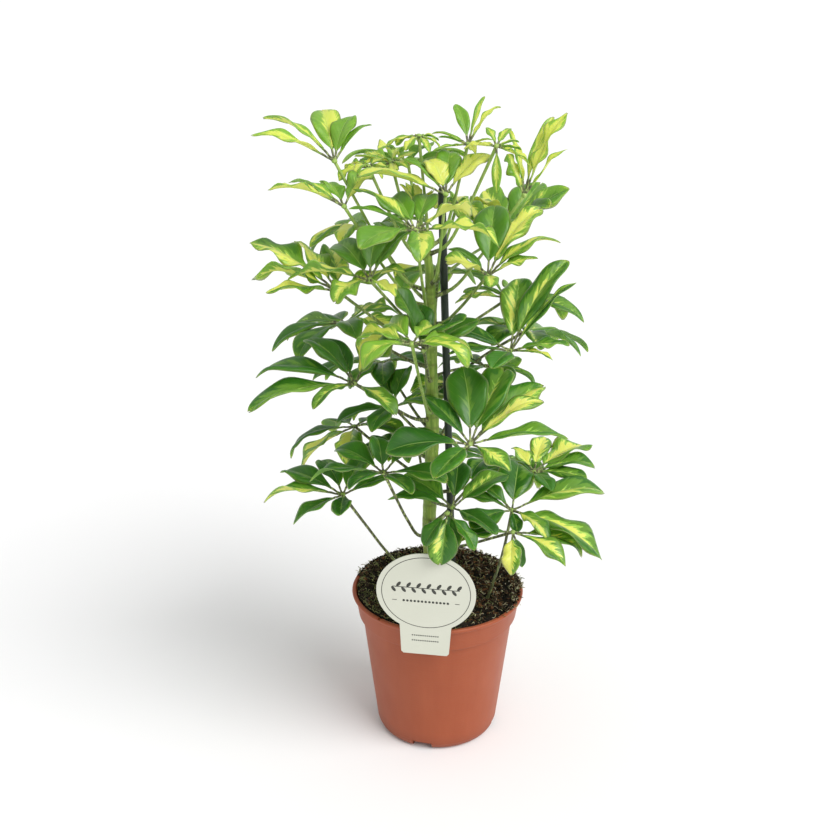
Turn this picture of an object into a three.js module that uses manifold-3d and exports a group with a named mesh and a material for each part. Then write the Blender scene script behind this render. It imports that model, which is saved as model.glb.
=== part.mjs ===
// A potted umbrella plant: a nursery pot of soil, a stem beside its stake, and a ring of fronds.
// Millimetres, +Z up. The origin is on the floor under the middle of the pot, and -Y is the front.
import * as THREE from 'three';
import { mergeGeometries, mergeVertices } from 'three/addons/utils/BufferGeometryUtils.js';
import Module from 'manifold-3d';

const wasm = await Module();
wasm.setup();
const { Manifold, Mesh: SolidMesh } = wasm;

// Driving dimensions: the pot
const RIM_RADIUS = 60;
const POT_HEIGHT = 107.5;
const FOOT_RADIUS = 41.5;
const WALL = 1.6;
const LIP_WIDTH = 3;
const LIP_HEIGHT = 3;
const BAND_HEIGHT = 18.5;
const BAND_DROP = 2.2;
const SHOULDER = 2.6;
const FOOT_ROUND = 5;
const FOOT_FLARE = 1.5;
const EDGE_ROUND = 0.8;
const BAND_INSET = 2.4;
const FOOT_RING_WIDTH = 7;
const FLOOR_RAISE = 3;
const NOTCH_WIDTH = 14;
const NOTCH_HEIGHT = 4;
const NOTCH_LENGTH = 28;
const NOTCH_AZIMUTHS = [75, 165, 255, 345];
const DRAIN_RADIUS = 4;
const DRAIN_CIRCLE = 26;
const DRAIN_COUNT = 6;
const POT_SIDES = 30;

// Driving dimensions: what fills the pot and what stands in it
const GAP = 0.3;
const SOIL_LEVEL = 104.2;
const SOIL_DOME = 2.6;
const SOIL_RINGS = [[46, 0.45], [36, 0.7], [25, 0.9], [13, 1], [0, 1]];
const SOIL_ROUGHNESS = 1.1;
const STEM_RADII = [4.8, 4.8, 4.7, 4.6, 4.5, 4.4, 4.2, 3.7, 3, 2];
const STEM_ROUTE = [
  [-3, 0, 40], [-4, 0, 110], [-6, -1, 150], [-5, -1, 190], [-4, 0, 230],
  [-5, 0, 265], [-5, -1, 300], [-6, -1, 328], [-8, -2, 348], [-11, -3, 362],
];
const STEM_SIDES = 8;
const STEM_RINGS = 14;
const STAKE_RADIUS = 2.5;
const STAKE_SIDES = 10;
const STAKE_POINT = 1.2;
const STAKE_FOOT = [14, 7, 12];
const STAKE_TOP = [1, 6, 386];
const YOUNG_BASE = [27, -10, 70];
const SHOOT_BASE = [-11, -3, 362.8];

// Driving dimensions: the label card
const CARD_WIDTH = 65;
const CARD_HEIGHT = 57;
const CARD_THICKNESS = 0.8;
const CARD_AZIMUTH = -8;
const CARD_ABOVE_RIM = 29;
const TAB_WIDTH = 34;
const TAB_DROP = 17.5;
const CARD_TURN = -0.7;
const TAB_CORNER = 1.5;
const TAB_TAPER = 1.2;
const TONGUE_WIDTH = 12;
const TONGUE_DEPTH = 32;
const TONGUE_INSIDE = -54.7;
const TONGUE_LEAN = 8.6;
const FOLD_CORNER = 0.5;

// Driving dimensions: stalks and leaflets
const BEND_STEPS = 40;
const PETIOLE_RADIUS = 1;
const PETIOLE_SIDES = 5;
const FOOT_SWELL = 1.6;
const HUB_RADIUS = 2.2;
const HUB_HALF_HEIGHT = 0.9;
const HUB_WIDEST = 4;
const OPEN_GAP = 120;
const STALK_HALF_WIDTH = 0.75;
const STALK_SHARE = 0.18;
const RIB_THICKNESS = 1.3;
const BLADE_SLENDERNESS = 0.178;
const STATIONS = [0.28, 0.58, 0.85];
const HALF_WIDTHS = [0.68, 1, 0.74];
const ARCH_SHARES = [0.15, 0.3, 0.3, 0.25];
const CLEARANCE = 0.45;

const UP = new THREE.Vector3(0, 0, 1);
const RAD = Math.PI / 180;

// A small seeded generator, so that every build draws the same leaves
function randomSource(seed) {
  let state = seed;
  return () => {
    state = (state * 1664525 + 1013904223) % 4294967296;
    return state / 4294967296;
  };
}

function closed(geometry) {
  const bare = geometry.index ? geometry.toNonIndexed() : geometry.clone();
  bare.deleteAttribute('normal');
  bare.deleteAttribute('uv');
  const merged = mergeVertices(bare, 1e-4);
  const index = merged.index.array;
  const kept = [];
  for (let i = 0; i < index.length; i += 3) {
    const [a, b, c] = [index[i], index[i + 1], index[i + 2]];
    if (a !== b && b !== c && c !== a) kept.push(a, b, c);
  }
  merged.setIndex(kept);
  return merged;
}

function solid(geometry) {
  const merged = closed(geometry);
  return new Manifold(new SolidMesh({
    numProp: 3,
    vertProperties: new Float32Array(merged.attributes.position.array),
    triVerts: new Uint32Array(merged.index.array),
  }));
}

function geometryOf(body) {
  const mesh = body.getMesh();
  const geometry = new THREE.BufferGeometry();
  geometry.setAttribute('position', new THREE.BufferAttribute(new Float32Array(mesh.vertProperties), 3));
  geometry.setIndex(new THREE.BufferAttribute(new Uint32Array(mesh.triVerts), 1));
  return geometry;
}

function boxOf(body) {
  const { min, max } = body.boundingBox();
  return new THREE.Box3(new THREE.Vector3(...min), new THREE.Vector3(...max));
}

function crosses(a, b) {
  if (!a.box.intersectsBox(b.box)) return false;
  const shared = a.body.intersect(b.body);
  const empty = shared.isEmpty();
  shared.delete();
  return !empty;
}

function obstacle(owner, body) {
  return { owner, body, box: boxOf(body) };
}

// A round bar bent along a curve: a cylinder whose rings are moved to their stations on the curve
function bentBar(curve, stations, sides) {
  const bar = new THREE.CylinderGeometry(1, 1, 1, sides, stations.length - 1);
  const place = bar.attributes.position;
  const frames = curve.computeFrenetFrames(BEND_STEPS);
  for (let i = 0; i < place.count; i += 1) {
    const [along, radius] = stations[Math.round((0.5 + place.getY(i)) * (stations.length - 1))];
    const k = Math.round(along * BEND_STEPS);
    const point = curve.getPointAt(along);
    point.addScaledVector(frames.normals[k], -place.getX(i) * radius);
    point.addScaledVector(frames.binormals[k], place.getZ(i) * radius);
    place.setXYZ(i, point.x, point.y, point.z);
  }
  return bar;
}

function turned(profile, sides) {
  const points = profile.map(([r, z]) => new THREE.Vector2(r, z));
  return new THREE.LatheGeometry(points, sides).rotateX(Math.PI / 2);
}

function upright(radius, height, sides, x, y, z) {
  const post = new THREE.CylinderGeometry(radius, radius, height, sides).rotateX(Math.PI / 2);
  return post.translate(x, y, z);
}

// The pot: wall, rolled lip and rim band in one turned profile, then the notches and drain holes
const shoulderZ = POT_HEIGHT - BAND_HEIGHT;
const floorTop = FLOOR_RAISE + WALL;
const bandTop = RIM_RADIUS - BAND_INSET;
const bandFoot = bandTop - BAND_DROP;
const wallTop = bandFoot - SHOULDER;
const wallSlope = (wallTop - FOOT_RADIUS - FOOT_FLARE) / (shoulderZ - FOOT_ROUND);

function wallRadius(z) {
  return FOOT_RADIUS + FOOT_FLARE + (z - FOOT_ROUND) * wallSlope;
}

function potSolid() {
  const lipFoot = POT_HEIGHT - LIP_HEIGHT;
  const ringInner = FOOT_RADIUS - FOOT_RING_WIDTH;
  let pot = solid(turned([
    [0, FLOOR_RAISE],
    [ringInner - FLOOR_RAISE, FLOOR_RAISE],
    [ringInner, 0],
    [FOOT_RADIUS - FOOT_ROUND * 0.7, 0],
    [FOOT_RADIUS, FOOT_ROUND * 0.35],
    [wallRadius(FOOT_ROUND), FOOT_ROUND],
    [wallTop, shoulderZ - EDGE_ROUND],
    [bandFoot, shoulderZ + EDGE_ROUND],
    [bandTop, lipFoot],
    [RIM_RADIUS - EDGE_ROUND / 2, lipFoot + EDGE_ROUND / 2],
    [RIM_RADIUS, POT_HEIGHT - EDGE_ROUND],
    [RIM_RADIUS - EDGE_ROUND, POT_HEIGHT],
    [RIM_RADIUS - LIP_WIDTH, POT_HEIGHT],
    [bandTop - WALL, lipFoot - EDGE_ROUND],
    [bandFoot - WALL, shoulderZ + EDGE_ROUND + WALL],
    [wallTop - WALL, shoulderZ - EDGE_ROUND + WALL],
    [wallRadius(floorTop) - WALL - EDGE_ROUND, floorTop],
    [0, floorTop],
  ], POT_SIDES));
  for (const azimuth of NOTCH_AZIMUTHS) {
    const notch = new THREE.BoxGeometry(NOTCH_LENGTH, NOTCH_WIDTH, NOTCH_HEIGHT * 2);
    notch.translate(FOOT_RADIUS + FLOOR_RAISE, 0, 0);
    pot = pot.subtract(solid(notch.rotateZ(azimuth * RAD)));
  }
  for (let i = 0; i < DRAIN_COUNT; i += 1) {
    const angle = (i * 2 * Math.PI) / DRAIN_COUNT;
    const [x, y] = [DRAIN_CIRCLE * Math.cos(angle), DRAIN_CIRCLE * Math.sin(angle)];
    pot = pot.subtract(solid(upright(DRAIN_RADIUS, floorTop * 3, 8, x, y, floorTop)));
  }
  return pot;
}

// Stem, stake and the young plant's hidden foot
const stemCurve = new THREE.CatmullRomCurve3(STEM_ROUTE.map((p) => new THREE.Vector3(...p)));

function stemRadius(along) {
  const at = along * (STEM_RADII.length - 1);
  const low = Math.min(Math.floor(at), STEM_RADII.length - 2);
  return THREE.MathUtils.lerp(STEM_RADII[low], STEM_RADII[low + 1], at - low);
}

function stemBar(extra) {
  const stations = [];
  for (let k = 0; k <= STEM_RINGS; k += 1) {
    stations.push([k / STEM_RINGS, stemRadius(k / STEM_RINGS) + extra]);
  }
  return bentBar(stemCurve, stations, STEM_SIDES);
}

function stakeBar(extra) {
  const ends = [STAKE_FOOT, STAKE_TOP].map((p) => new THREE.Vector3(...p));
  const line = new THREE.LineCurve3(...ends);
  const full = STAKE_RADIUS + extra;
  return bentBar(line, [[0, STAKE_POINT + extra], [0.05, full], [1, full]], STAKE_SIDES);
}

// The place on the stem's middle line at a height, and the stem's radius there
function stemAt(height) {
  for (let k = 0; k < BEND_STEPS; k += 1) {
    const [a, b] = [k, k + 1].map((step) => stemCurve.getPointAt(step / BEND_STEPS));
    if (b.z >= height) {
      const share = (height - a.z) / (b.z - a.z);
      const heading = b.clone().sub(a).normalize();
      return { middle: a.lerp(b, share), radius: stemRadius((k + share) / BEND_STEPS), heading };
    }
  }
  return { middle: stemCurve.getPointAt(1), radius: stemRadius(1), heading: stemCurve.getTangentAt(1) };
}

// The label: an oval card with a tab, hung outside the rim, and a tongue that goes over the lip
function cardSolid() {
  const face = new THREE.Shape();
  const [wide, high] = [CARD_WIDTH / 2, CARD_HEIGHT / 2];
  const half = TAB_WIDTH / 2;
  const start = -Math.acos(half / wide);
  const foot = -high - TAB_DROP;
  face.absellipse(0, 0, wide, high, start, Math.PI - start, false, 0);
  const end = half - TAB_TAPER;
  face.lineTo(-end, foot + TAB_CORNER);
  face.lineTo(-end + TAB_CORNER, foot);
  face.lineTo(end - TAB_CORNER, foot);
  face.lineTo(end, foot + TAB_CORNER);
  face.closePath();
  const card = new THREE.ExtrudeGeometry(face, {
    depth: CARD_THICKNESS,
    bevelEnabled: false,
    curveSegments: 28,
  });
  card.rotateZ(CARD_TURN * RAD).rotateX(Math.PI / 2);
  card.translate(0, -RIM_RADIUS - GAP, POT_HEIGHT + CARD_ABOVE_RIM);
  return solid(card.rotateZ(CARD_AZIMUTH * RAD));
}

function tongueSolid(extra, reach) {
  const under = POT_HEIGHT + GAP;
  const outer = -RIM_RADIUS - GAP - CARD_THICKNESS / 2;
  const low = POT_HEIGHT - TONGUE_DEPTH - extra;
  const inner = TONGUE_INSIDE + CARD_THICKNESS + extra;
  const fold = new THREE.Shape();
  fold.moveTo(outer, under + CARD_THICKNESS);
  fold.lineTo(inner - FOLD_CORNER, under + CARD_THICKNESS);
  fold.lineTo(inner, under + CARD_THICKNESS - FOLD_CORNER);
  fold.lineTo(inner + TONGUE_LEAN, low);
  fold.lineTo(TONGUE_INSIDE + TONGUE_LEAN - reach, low);
  fold.lineTo(TONGUE_INSIDE - reach, under);
  fold.lineTo(outer, under);
  fold.closePath();
  const width = TONGUE_WIDTH + extra * 2;
  const tongue = new THREE.ExtrudeGeometry(fold, { depth: width, bevelEnabled: false });
  tongue.rotateX(Math.PI / 2).rotateZ(Math.PI / 2);
  return solid(tongue.translate(-width / 2, 0, 0).rotateZ(CARD_AZIMUTH * RAD));
}

// The soil: a turned plug inside the wall, its top domed and crumbled, with a hole for each stem
function soilSolid(holes) {
  const floor = floorTop + GAP;
  const edge = SOIL_LEVEL;
  const step = shoulderZ - EDGE_ROUND + WALL + GAP;
  const inside = bandFoot - WALL - GAP;
  const profile = [
    [0, floor],
    [wallRadius(floor) - WALL - GAP - EDGE_ROUND, floor],
    [wallTop - WALL - GAP, step],
    [inside, step + EDGE_ROUND * 2],
    [inside + (edge - shoulderZ) * (BAND_DROP / BAND_HEIGHT), edge],
    ...SOIL_RINGS.map(([radius, share]) => [radius, edge + SOIL_DOME * share]),
  ];
  const plug = turned(profile, POT_SIDES);
  const place = plug.attributes.position;
  for (let i = 0; i < place.count; i += 1) {
    const [x, y, z] = [place.getX(i), place.getY(i), place.getZ(i)];
    if (z < edge) continue;
    const lumps = Math.sin(x * 0.43 + y * 0.21) + Math.sin(y * 0.51 - x * 0.17 + 1.3);
    const fine = Math.sin(x * 1.3 + 2 * Math.sin(y * 0.9));
    place.setZ(i, z + SOIL_ROUGHNESS * (0.45 * lumps + 0.35 * fine));
  }
  return holes.reduce((body, hole) => body.subtract(hole), solid(plug));
}

// One leaflet. Its rings (left, top, right, under) follow the rib from the end of its stalk to the tip.
function leafletRings(leaf, fat) {
  const rings = [];
  const stalk = leaf.length * STALK_SHARE;
  const blade = leaf.length - stalk;
  const side = new THREE.Vector3().crossVectors(leaf.out, leaf.axis).normalize();
  const place = leaf.hub.clone().addScaledVector(leaf.out, stalk);
  const heading = leaf.out.clone();
  const ring = (half, thick, lift, wave, roll) => {
    const across = side.clone().applyAxisAngle(heading, roll * RAD);
    const normal = new THREE.Vector3().crossVectors(across, heading).normalize();
    rings.push([
      place.clone().addScaledVector(across, -half).addScaledVector(normal, lift + wave),
      place.clone().addScaledVector(normal, thick),
      place.clone().addScaledVector(across, half).addScaledVector(normal, lift - wave),
      place.clone().addScaledVector(normal, -thick),
    ]);
  };
  const advance = (distance, bend) => {
    heading.applyAxisAngle(side, -bend * RAD);
    place.addScaledVector(heading, distance);
  };
  ring(STALK_HALF_WIDTH + fat, STALK_HALF_WIDTH + fat, 0, 0, 0);
  STATIONS.forEach((station, k) => {
    advance(blade * (station - (STATIONS[k - 1] ?? 0)), leaf.arch * ARCH_SHARES[k]);
    const half = leaf.length * BLADE_SLENDERNESS * leaf.wide * HALF_WIDTHS[k];
    const thick = (RIB_THICKNESS / 2) * (k === 2 ? 0.85 : 1);
    const wave = leaf.wave * (k % 2 ? 1 : -1);
    ring(half + fat, thick + fat, half * leaf.fold, wave, leaf.roll * station);
  });
  advance(blade * (1 - STATIONS[2]) + fat, leaf.arch * ARCH_SHARES[3]);
  ring(0, 0, 0, 0, 0);
  return rings;
}

// A plane grid whose rows are laid on the rings, one column on each named corner
function sheetOn(rings, corners) {
  const sheet = new THREE.PlaneGeometry(1, 1, corners.length - 1, rings.length - 1);
  const place = sheet.attributes.position;
  rings.forEach((ring, r) => corners.forEach((corner, k) => {
    const { x, y, z } = ring[corner];
    place.setXYZ(r * corners.length + k, x, y, z);
  }));
  return sheet;
}

function flipped(sheet) {
  sheet.index.array.reverse();
  return sheet;
}

// Two sheets with one outline, above and below the rib, split alike so that they never cross
function bladeSheets(rings) {
  return [sheetOn(rings, [2, 1, 0]), flipped(sheetOn(rings, [2, 3, 0]))];
}

// A fattened leaflet, whole or without its stalk, that shows what the real one would touch
function leafletTest(leaf, fat, withStalk) {
  const rings = leafletRings(leaf, fat);
  const pinched = (ring) => {
    const middle = ring[1].clone().lerp(ring[3], 0.5);
    return [ring[0], middle, ring[2], middle];
  };
  if (withStalk) {
    const start = leaf.hub.clone().addScaledVector(leaf.out, HUB_RADIUS);
    const toStart = start.sub(rings[0][1].clone().lerp(rings[0][3], 0.5));
    rings.unshift(pinched(rings[0].map((corner) => corner.clone().add(toStart))));
  } else {
    rings[0] = pinched(rings[0]);
  }
  return obstacle(leaf.owner, solid(mergeGeometries(bladeSheets(rings))));
}

// The room that a hub takes, so that no leaflet of another frond runs through it
function hubTest(frond) {
  const disc = new THREE.CylinderGeometry(HUB_WIDEST, HUB_WIDEST, HUB_HALF_HEIGHT * 2, STAKE_SIDES);
  return obstacle(frond.name, solid(disc.rotateX(Math.PI / 2).translate(...frond.hub)));
}

// A whole ring of leaflets as one skin: each stalk grows from its own side of a small flat hub
function crownSolid(leaflets) {
  const { hub, axis } = leaflets[0];
  const count = leaflets.length;
  const azimuths = leaflets.map((leaf) => leaf.azimuth);
  const sweep = azimuths[count - 1] - azimuths[0];
  const turnsLeft = sweep > 0;
  const open = 360 - Math.abs(sweep) > OPEN_GAP;
  const pitches = azimuths.slice(1).map((azimuth, i) => Math.abs(azimuth - azimuths[i]));
  const margin = (turnsLeft ? 0.5 : -0.5) * Math.min(...pitches);
  const seam = (azimuths[0] + azimuths[count - 1] - (turnsLeft ? 360 : -360)) / 2;
  const corners = [open ? azimuths[0] - margin : seam];
  for (let i = 1; i < count; i += 1) corners.push((azimuths[i - 1] + azimuths[i]) / 2);
  corners.push(open ? azimuths[count - 1] + margin : seam);
  const shared = STALK_HALF_WIDTH / Math.sin(Math.min(...pitches) * RAD * 0.5);
  const radius = THREE.MathUtils.clamp(shared, HUB_RADIUS * 0.75, HUB_WIDEST);
  const middles = [1, -1].map((way) => hub.clone().addScaledVector(axis, way * HUB_HALF_HEIGHT));
  const [above, below] = middles.map((middle) => (
    corners.map((azimuth) => middle.clone().addScaledVector(radialOn(axis, azimuth), radius))
  ));
  const skin = [];
  leaflets.forEach((leaf, i) => {
    const [from, to] = turnsLeft ? [i + 1, i] : [i, i + 1];
    const root = [above[from], above[to], below[to], below[from]];
    const rings = leafletRings(leaf, 0);
    const end = [rings[0][1], rings[0][2], rings[0][3], rings[0][0]];
    skin.push(flipped(sheetOn([root, end], [0, 1, 2, 3, 0])), ...bladeSheets(rings));
  });
  const [top, foot] = middles;
  const cap = sheetOn([above.map(() => top), above], above.map((_, i) => i));
  const base = sheetOn([below.map(() => foot), below], below.map((_, i) => i));
  skin.push(turnsLeft ? cap : flipped(cap), turnsLeft ? flipped(base) : base);
  if (open) {
    const ends = [[above[0], top, above[count]], [below[0], foot, below[count]]];
    const back = sheetOn(ends, [0, 1, 2]);
    skin.push(turnsLeft ? flipped(back) : back);
  }
  return solid(mergeGeometries(skin));
}

// The fronds, from the top of the plant to its foot. Each row is read as on a plant:
// from: height on the stem (or a place in the soil), hub: where its leaflets meet,
// lean: which way the ring of leaflets faces and how far from level, span: the arc that holds them,
// leaves: the leaflets of a frond at the front, each with its azimuth, lift, length and width
const FRONDS = [
  { base: SHOOT_BASE, hub: [-12, -4, 369], lean: [250, 5],
    count: 7, length: 25, lift: 62, arch: 10, wide: 0.7, young: 1 },
  { from: 350, leave: 80, hub: [-13, 2, 417], lean: [270, 0],
    count: 7, length: 21, lift: 0, arch: 45, young: 1 },
  { from: 350, hub: [17, 4, 412], lean: [270, 0],
    arch: 22, young: 1, leaves: [
      [35, 54, 34, 0.5], [60, 61, 35, 0.4], [105, 57, 30, 1], [150, 24, 26, 0.7],
      [178, 24, 19, 0.8], [205, 4, 26, 0.55], [280, 0, 18, 0.9], [325, 10, 20, 0.8],
      [358, 22, 16, 0.8],
    ] },
  { from: 346, hub: [33, -18, 414], lean: [270, 0],
    arch: 22, young: 1, leaves: [
      [-20, 4, 16, 1.1], [20, 20, 15, 1], [60, 38, 19, 1], [125, 55, 14, 1.2], [188, 10, 20, 0.9],
      [268, -46, 30, 0.65], [310, -6, 30, 0.95],
    ] },
  { from: 348, hub: [-30, 10, 400], lean: [270, 10],
    count: 8, length: 24, lift: 15, arch: 25, young: 1 },
  { from: 343, hub: [-44, 0, 399], lean: [250, 15],
    count: 7, length: 21, lift: 15, arch: 60, young: 1 },
  { from: 322, hub: [-63, -20, 405], lean: [270, 0],
    arch: 34, young: 0.6, leaves: [
      [44, 50, 38, 0.6], [75, 58, 38, 1.1], [107, 50, 47, 1.15], [158, 46, 52, 0.8],
      [192, 34, 52, 0.55],
    ] },
  { from: 312, hub: [-57, -35, 381], lean: [270, 0],
    arch: 38, young: 0.6, leaves: [
      [50, 44, 36, 1.1], [105, 42, 30, 1.3], [165, 40, 39, 0.9], [188, 34, 48, 0.75],
    ] },
  { from: 327, hub: [3, -25, 387], lean: [270, 0],
    arch: 26, young: 0.7, leaves: [
      [38, 44, 42, 1.2], [85, 50, 36, 1.2], [128, 54, 26, 1.7], [162, 50, 33, 1],
      [188, 25, 55, 1.05],
    ] },
  { from: 318, hub: [52, 0, 382], lean: [270, 0],
    arch: 6, young: 0.7, leaves: [
      [5, 54, 38, 0.5], [30, 66, 55, 0.6], [60, 64, 52, 0.55], [95, 62, 44, 0.5],
      [132, 54, 29, 1.5],
    ] },
  { from: 330, hub: [12, 45, 366], lean: [60, 10],
    count: 7, length: 44, lift: 22, arch: 55, young: 0.5 },
  { from: 306, hub: [-15, -50, 370], lean: [270, 0],
    arch: 36, young: 0.3, leaves: [
      [-10, 12, 52, 0.9], [30, 30, 44, 1], [75, 34, 46, 1], [112, 36, 46, 1], [150, 42, 48, 0.9],
      [176, 34, 42, 0.6], [225, 14, 46, 1.1], [280, 4, 36, 1.2],
    ] },
  { from: 300, hub: [29, -25, 337], lean: [270, 0],
    arch: 36, young: 0.4, leaves: [
      [-5, 36, 33, 1.2], [20, 42, 52, 1.1], [42, 58, 56, 0.9], [75, 54, 52, 1.3], [140, 40, 34, 1],
      [187, 38, 30, 1.6], [275, 14, 28, 1],
    ] },
  { from: 290, hub: [44, 0, 316], lean: [0, 10],
    count: 7, length: 50, lift: 10, arch: 40, turn: 30, young: 0.3 },
  { from: 296, hub: [-42, -50, 341], lean: [270, 0],
    arch: 32, young: 0.3, leaves: [
      [47, 50, 46, 1], [90, 40, 42, 1.2], [120, 38, 42, 1.5], [190, 20, 50, 1], [229, 5, 33, 1.4],
      [300, 8, 30, 1],
    ] },
  { from: 286, hub: [-62, -38, 331], lean: [270, 0],
    arch: 24, young: 0.4, leaves: [
      [20, 24, 44, 1], [95, 34, 44, 1], [131, 38, 53, 0.9], [160, 36, 63, 0.95],
      [187, 30, 53, 0.85], [218, 18, 50, 1.1],
    ] },
  { from: 240, hub: [-17, -72, 308], lean: [270, 5],
    count: 6, length: 39, lift: 18, arch: 65, wide: 1.1, span: [205, -30], young: 0.9 },
  { from: 262, hub: [-10, -43, 296], lean: [270, 0],
    count: 5, length: 48, lift: 52, arch: 15, turn: 88, wide: 1.55, young: 0.1 },
  { from: 240, hub: [44, -30, 291], lean: [270, 0],
    arch: 20, young: 0.2, leaves: [
      [-10, 18, 37, 1.5], [20, 52, 60, 0.5], [40, 56, 70, 0.75], [78, 42, 58, 1.1],
      [150, 31, 49, 1.4], [188, 11, 40, 1.1], [250, 8, 34, 1.4], [325, 12, 31, 0.6],
    ] },
  { from: 262, hub: [32, 25, 262], lean: [30, 10],
    count: 6, length: 44, lift: 12, arch: 40, young: 0.1 },
  { from: 234, hub: [-53, -35, 271], lean: [270, 0],
    arch: 30, young: 0.1, leaves: [
      [47, 50, 44, 1.3], [120, 40, 46, 1.2], [150, 40, 45, 1.2], [172, 22, 64, 1.05],
      [204, 6, 70, 0.95], [235, 10, 40, 0.9], [310, 0, 40, 1],
    ] },
  { from: 222, hub: [-30, 5, 240], lean: [270, 0],
    arch: 35, young: 0, leaves: [
      [20, 20, 40, 1], [75, 48, 39, 0.9], [108, 40, 42, 0.9], [160, -4, 34, 1], [195, 4, 41, 1.1],
      [250, 14, 36, 1], [320, 14, 40, 1],
    ] },
  { from: 205, hub: [-30, 22, 206], lean: [160, 10],
    count: 6, length: 42, lift: 14, arch: 40, turn: 50, young: 0 },
  { from: 196, hub: [18, -70, 245], lean: [270, 0],
    arch: 22, young: 0, leaves: [
      [-3, 16, 60, 0.9], [15, 40, 52, 0.6], [33, 34, 64, 0.9], [60, 36, 60, 1.1],
      [90, 46, 54, 1.3], [138, 38, 43, 1], [186, 8, 52, 1.1], [237, -3, 38, 1.4],
      [318, -2, 34, 1.3],
    ] },
  { from: 180, hub: [66, 12, 190], lean: [270, 0],
    arch: 26, young: 0, leaves: [
      [-20, 10, 37, 1.1], [8, 18, 44, 1], [36, 22, 51, 1.35], [75, 30, 38, 1], [140, 36, 26, 1.3],
      [175, 18, 36, 1.1], [285, 4, 32, 1],
    ] },
  { from: 150, hub: [-35, -55, 219], lean: [270, 0],
    arch: 34, young: 0, leaves: [
      [40, 36, 47, 1.1], [105, 54, 28, 1.5], [150, 28, 40, 1.2], [195, 18, 48, 1],
      [235, 20, 36, 1.2], [300, 12, 33, 1.3], [345, 14, 42, 1],
    ] },
  { from: 116, hub: [-62, -40, 197], lean: [270, 0],
    arch: 26, young: 0, leaves: [
      [20, 20, 38, 1], [70, 26, 40, 1], [112, 26, 42, 1], [155, 22, 49, 1.2], [183, 14, 52, 0.9],
      [220, 0, 40, 1.1], [272, 4, 24, 1.3],
    ] },
  { from: 176, hub: [9, -32, 184], lean: [270, 0],
    arch: 30, young: 0, leaves: [
      [35, 26, 50, 1.1], [85, 30, 46, 1.1], [140, 26, 46, 1.1], [190, 14, 44, 1],
      [250, -14, 32, 1.7], [310, 6, 40, 1.1],
    ] },
  { from: 160, hub: [5, -52, 190], lean: [270, 0],
    arch: 20, young: 0, leaves: [
      [215, -36, 26, 1.3], [258, -52, 34, 1.45], [325, -30, 30, 1],
    ] },
  { base: YOUNG_BASE, hub: [49, -20, 176], lean: [270, 0],
    arch: 34, young: 0, leaves: [
      [10, 24, 66, 1], [78, 44, 43, 1.4], [145, 38, 33, 1], [172, 32, 33, 1], [228, 10, 44, 1],
      [278, -10, 18, 1.4], [310, 0, 40, 0.9], [340, -4, 69, 1.25],
    ] },
  { from: 140, hub: [48, -42, 171], lean: [270, 0],
    arch: 34, young: 0, leaves: [
      [200, 16, 37, 1], [262, -20, 31, 1.1], [298, -46, 24, 1], [328, -1, 42, 1],
      [350, -3, 53, 0.8],
    ] },
  { from: 344, hub: [-20, 53, 392], lean: [100, 15],
    count: 8, length: 50, lift: 20, arch: 35, young: 0.6 },
  { from: 324, hub: [45, 53, 345], lean: [280, 5],
    count: 8, length: 54, lift: 42, arch: 12, turn: 10, wide: 1.2, young: 0.3 },
  { from: 314, hub: [-45, 50, 350], lean: [135, 15],
    count: 8, length: 56, lift: 15, arch: 40, young: 0.3 },
  { from: 280, hub: [0, 56, 318], lean: [90, 20],
    count: 8, length: 54, lift: 12, arch: 40, young: 0.2 },
  { from: 270, hub: [-62, 25, 292], lean: [160, 15],
    count: 8, length: 54, lift: 12, arch: 40, young: 0.2 },
  { from: 252, hub: [58, 42, 280], lean: [40, 15],
    count: 8, length: 56, lift: 12, arch: 40, young: 0.1 },
  { from: 226, hub: [-38, 53, 255], lean: [120, 15],
    count: 8, length: 56, lift: 8, arch: 40, young: 0 },
  { from: 214, hub: [20, 56, 236], lean: [75, 15],
    count: 8, length: 54, lift: 8, arch: 45, young: 0 },
  { from: 190, hub: [-58, 35, 214], lean: [150, 15],
    count: 7, length: 54, lift: 5, arch: 45, young: 0 },
  { from: 170, hub: [-15, 61, 196], lean: [100, 15],
    count: 8, length: 52, lift: 5, arch: 45, young: 0 },
  { from: 156, hub: [40, 52, 182], lean: [50, 15],
    count: 7, length: 52, lift: 5, arch: 45, young: 0 },
];

const random = randomSource(20);
const spread = (amount) => (random() * 2 - 1) * amount;

// The places that a stalk or a leaflet may take, its natural one first, until one stands clear
const STALK_SHIFTS = [];
for (const swing of [0, 4, -4, 8, -8, 12, -12, 16, -16]) {
  for (const slide of [0, 3, -3, 6]) STALK_SHIFTS.push({ swing, slide });
}
const LEAF_SHIFTS = [];
for (const share of [1, 0.86, 0.72]) {
  for (const lift of [0, 8, -8, 16, -16, 25, -25]) {
    for (const turn of [0, 6, -6, 12, -12]) LEAF_SHIFTS.push({ share, lift, turn });
  }
}

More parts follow.
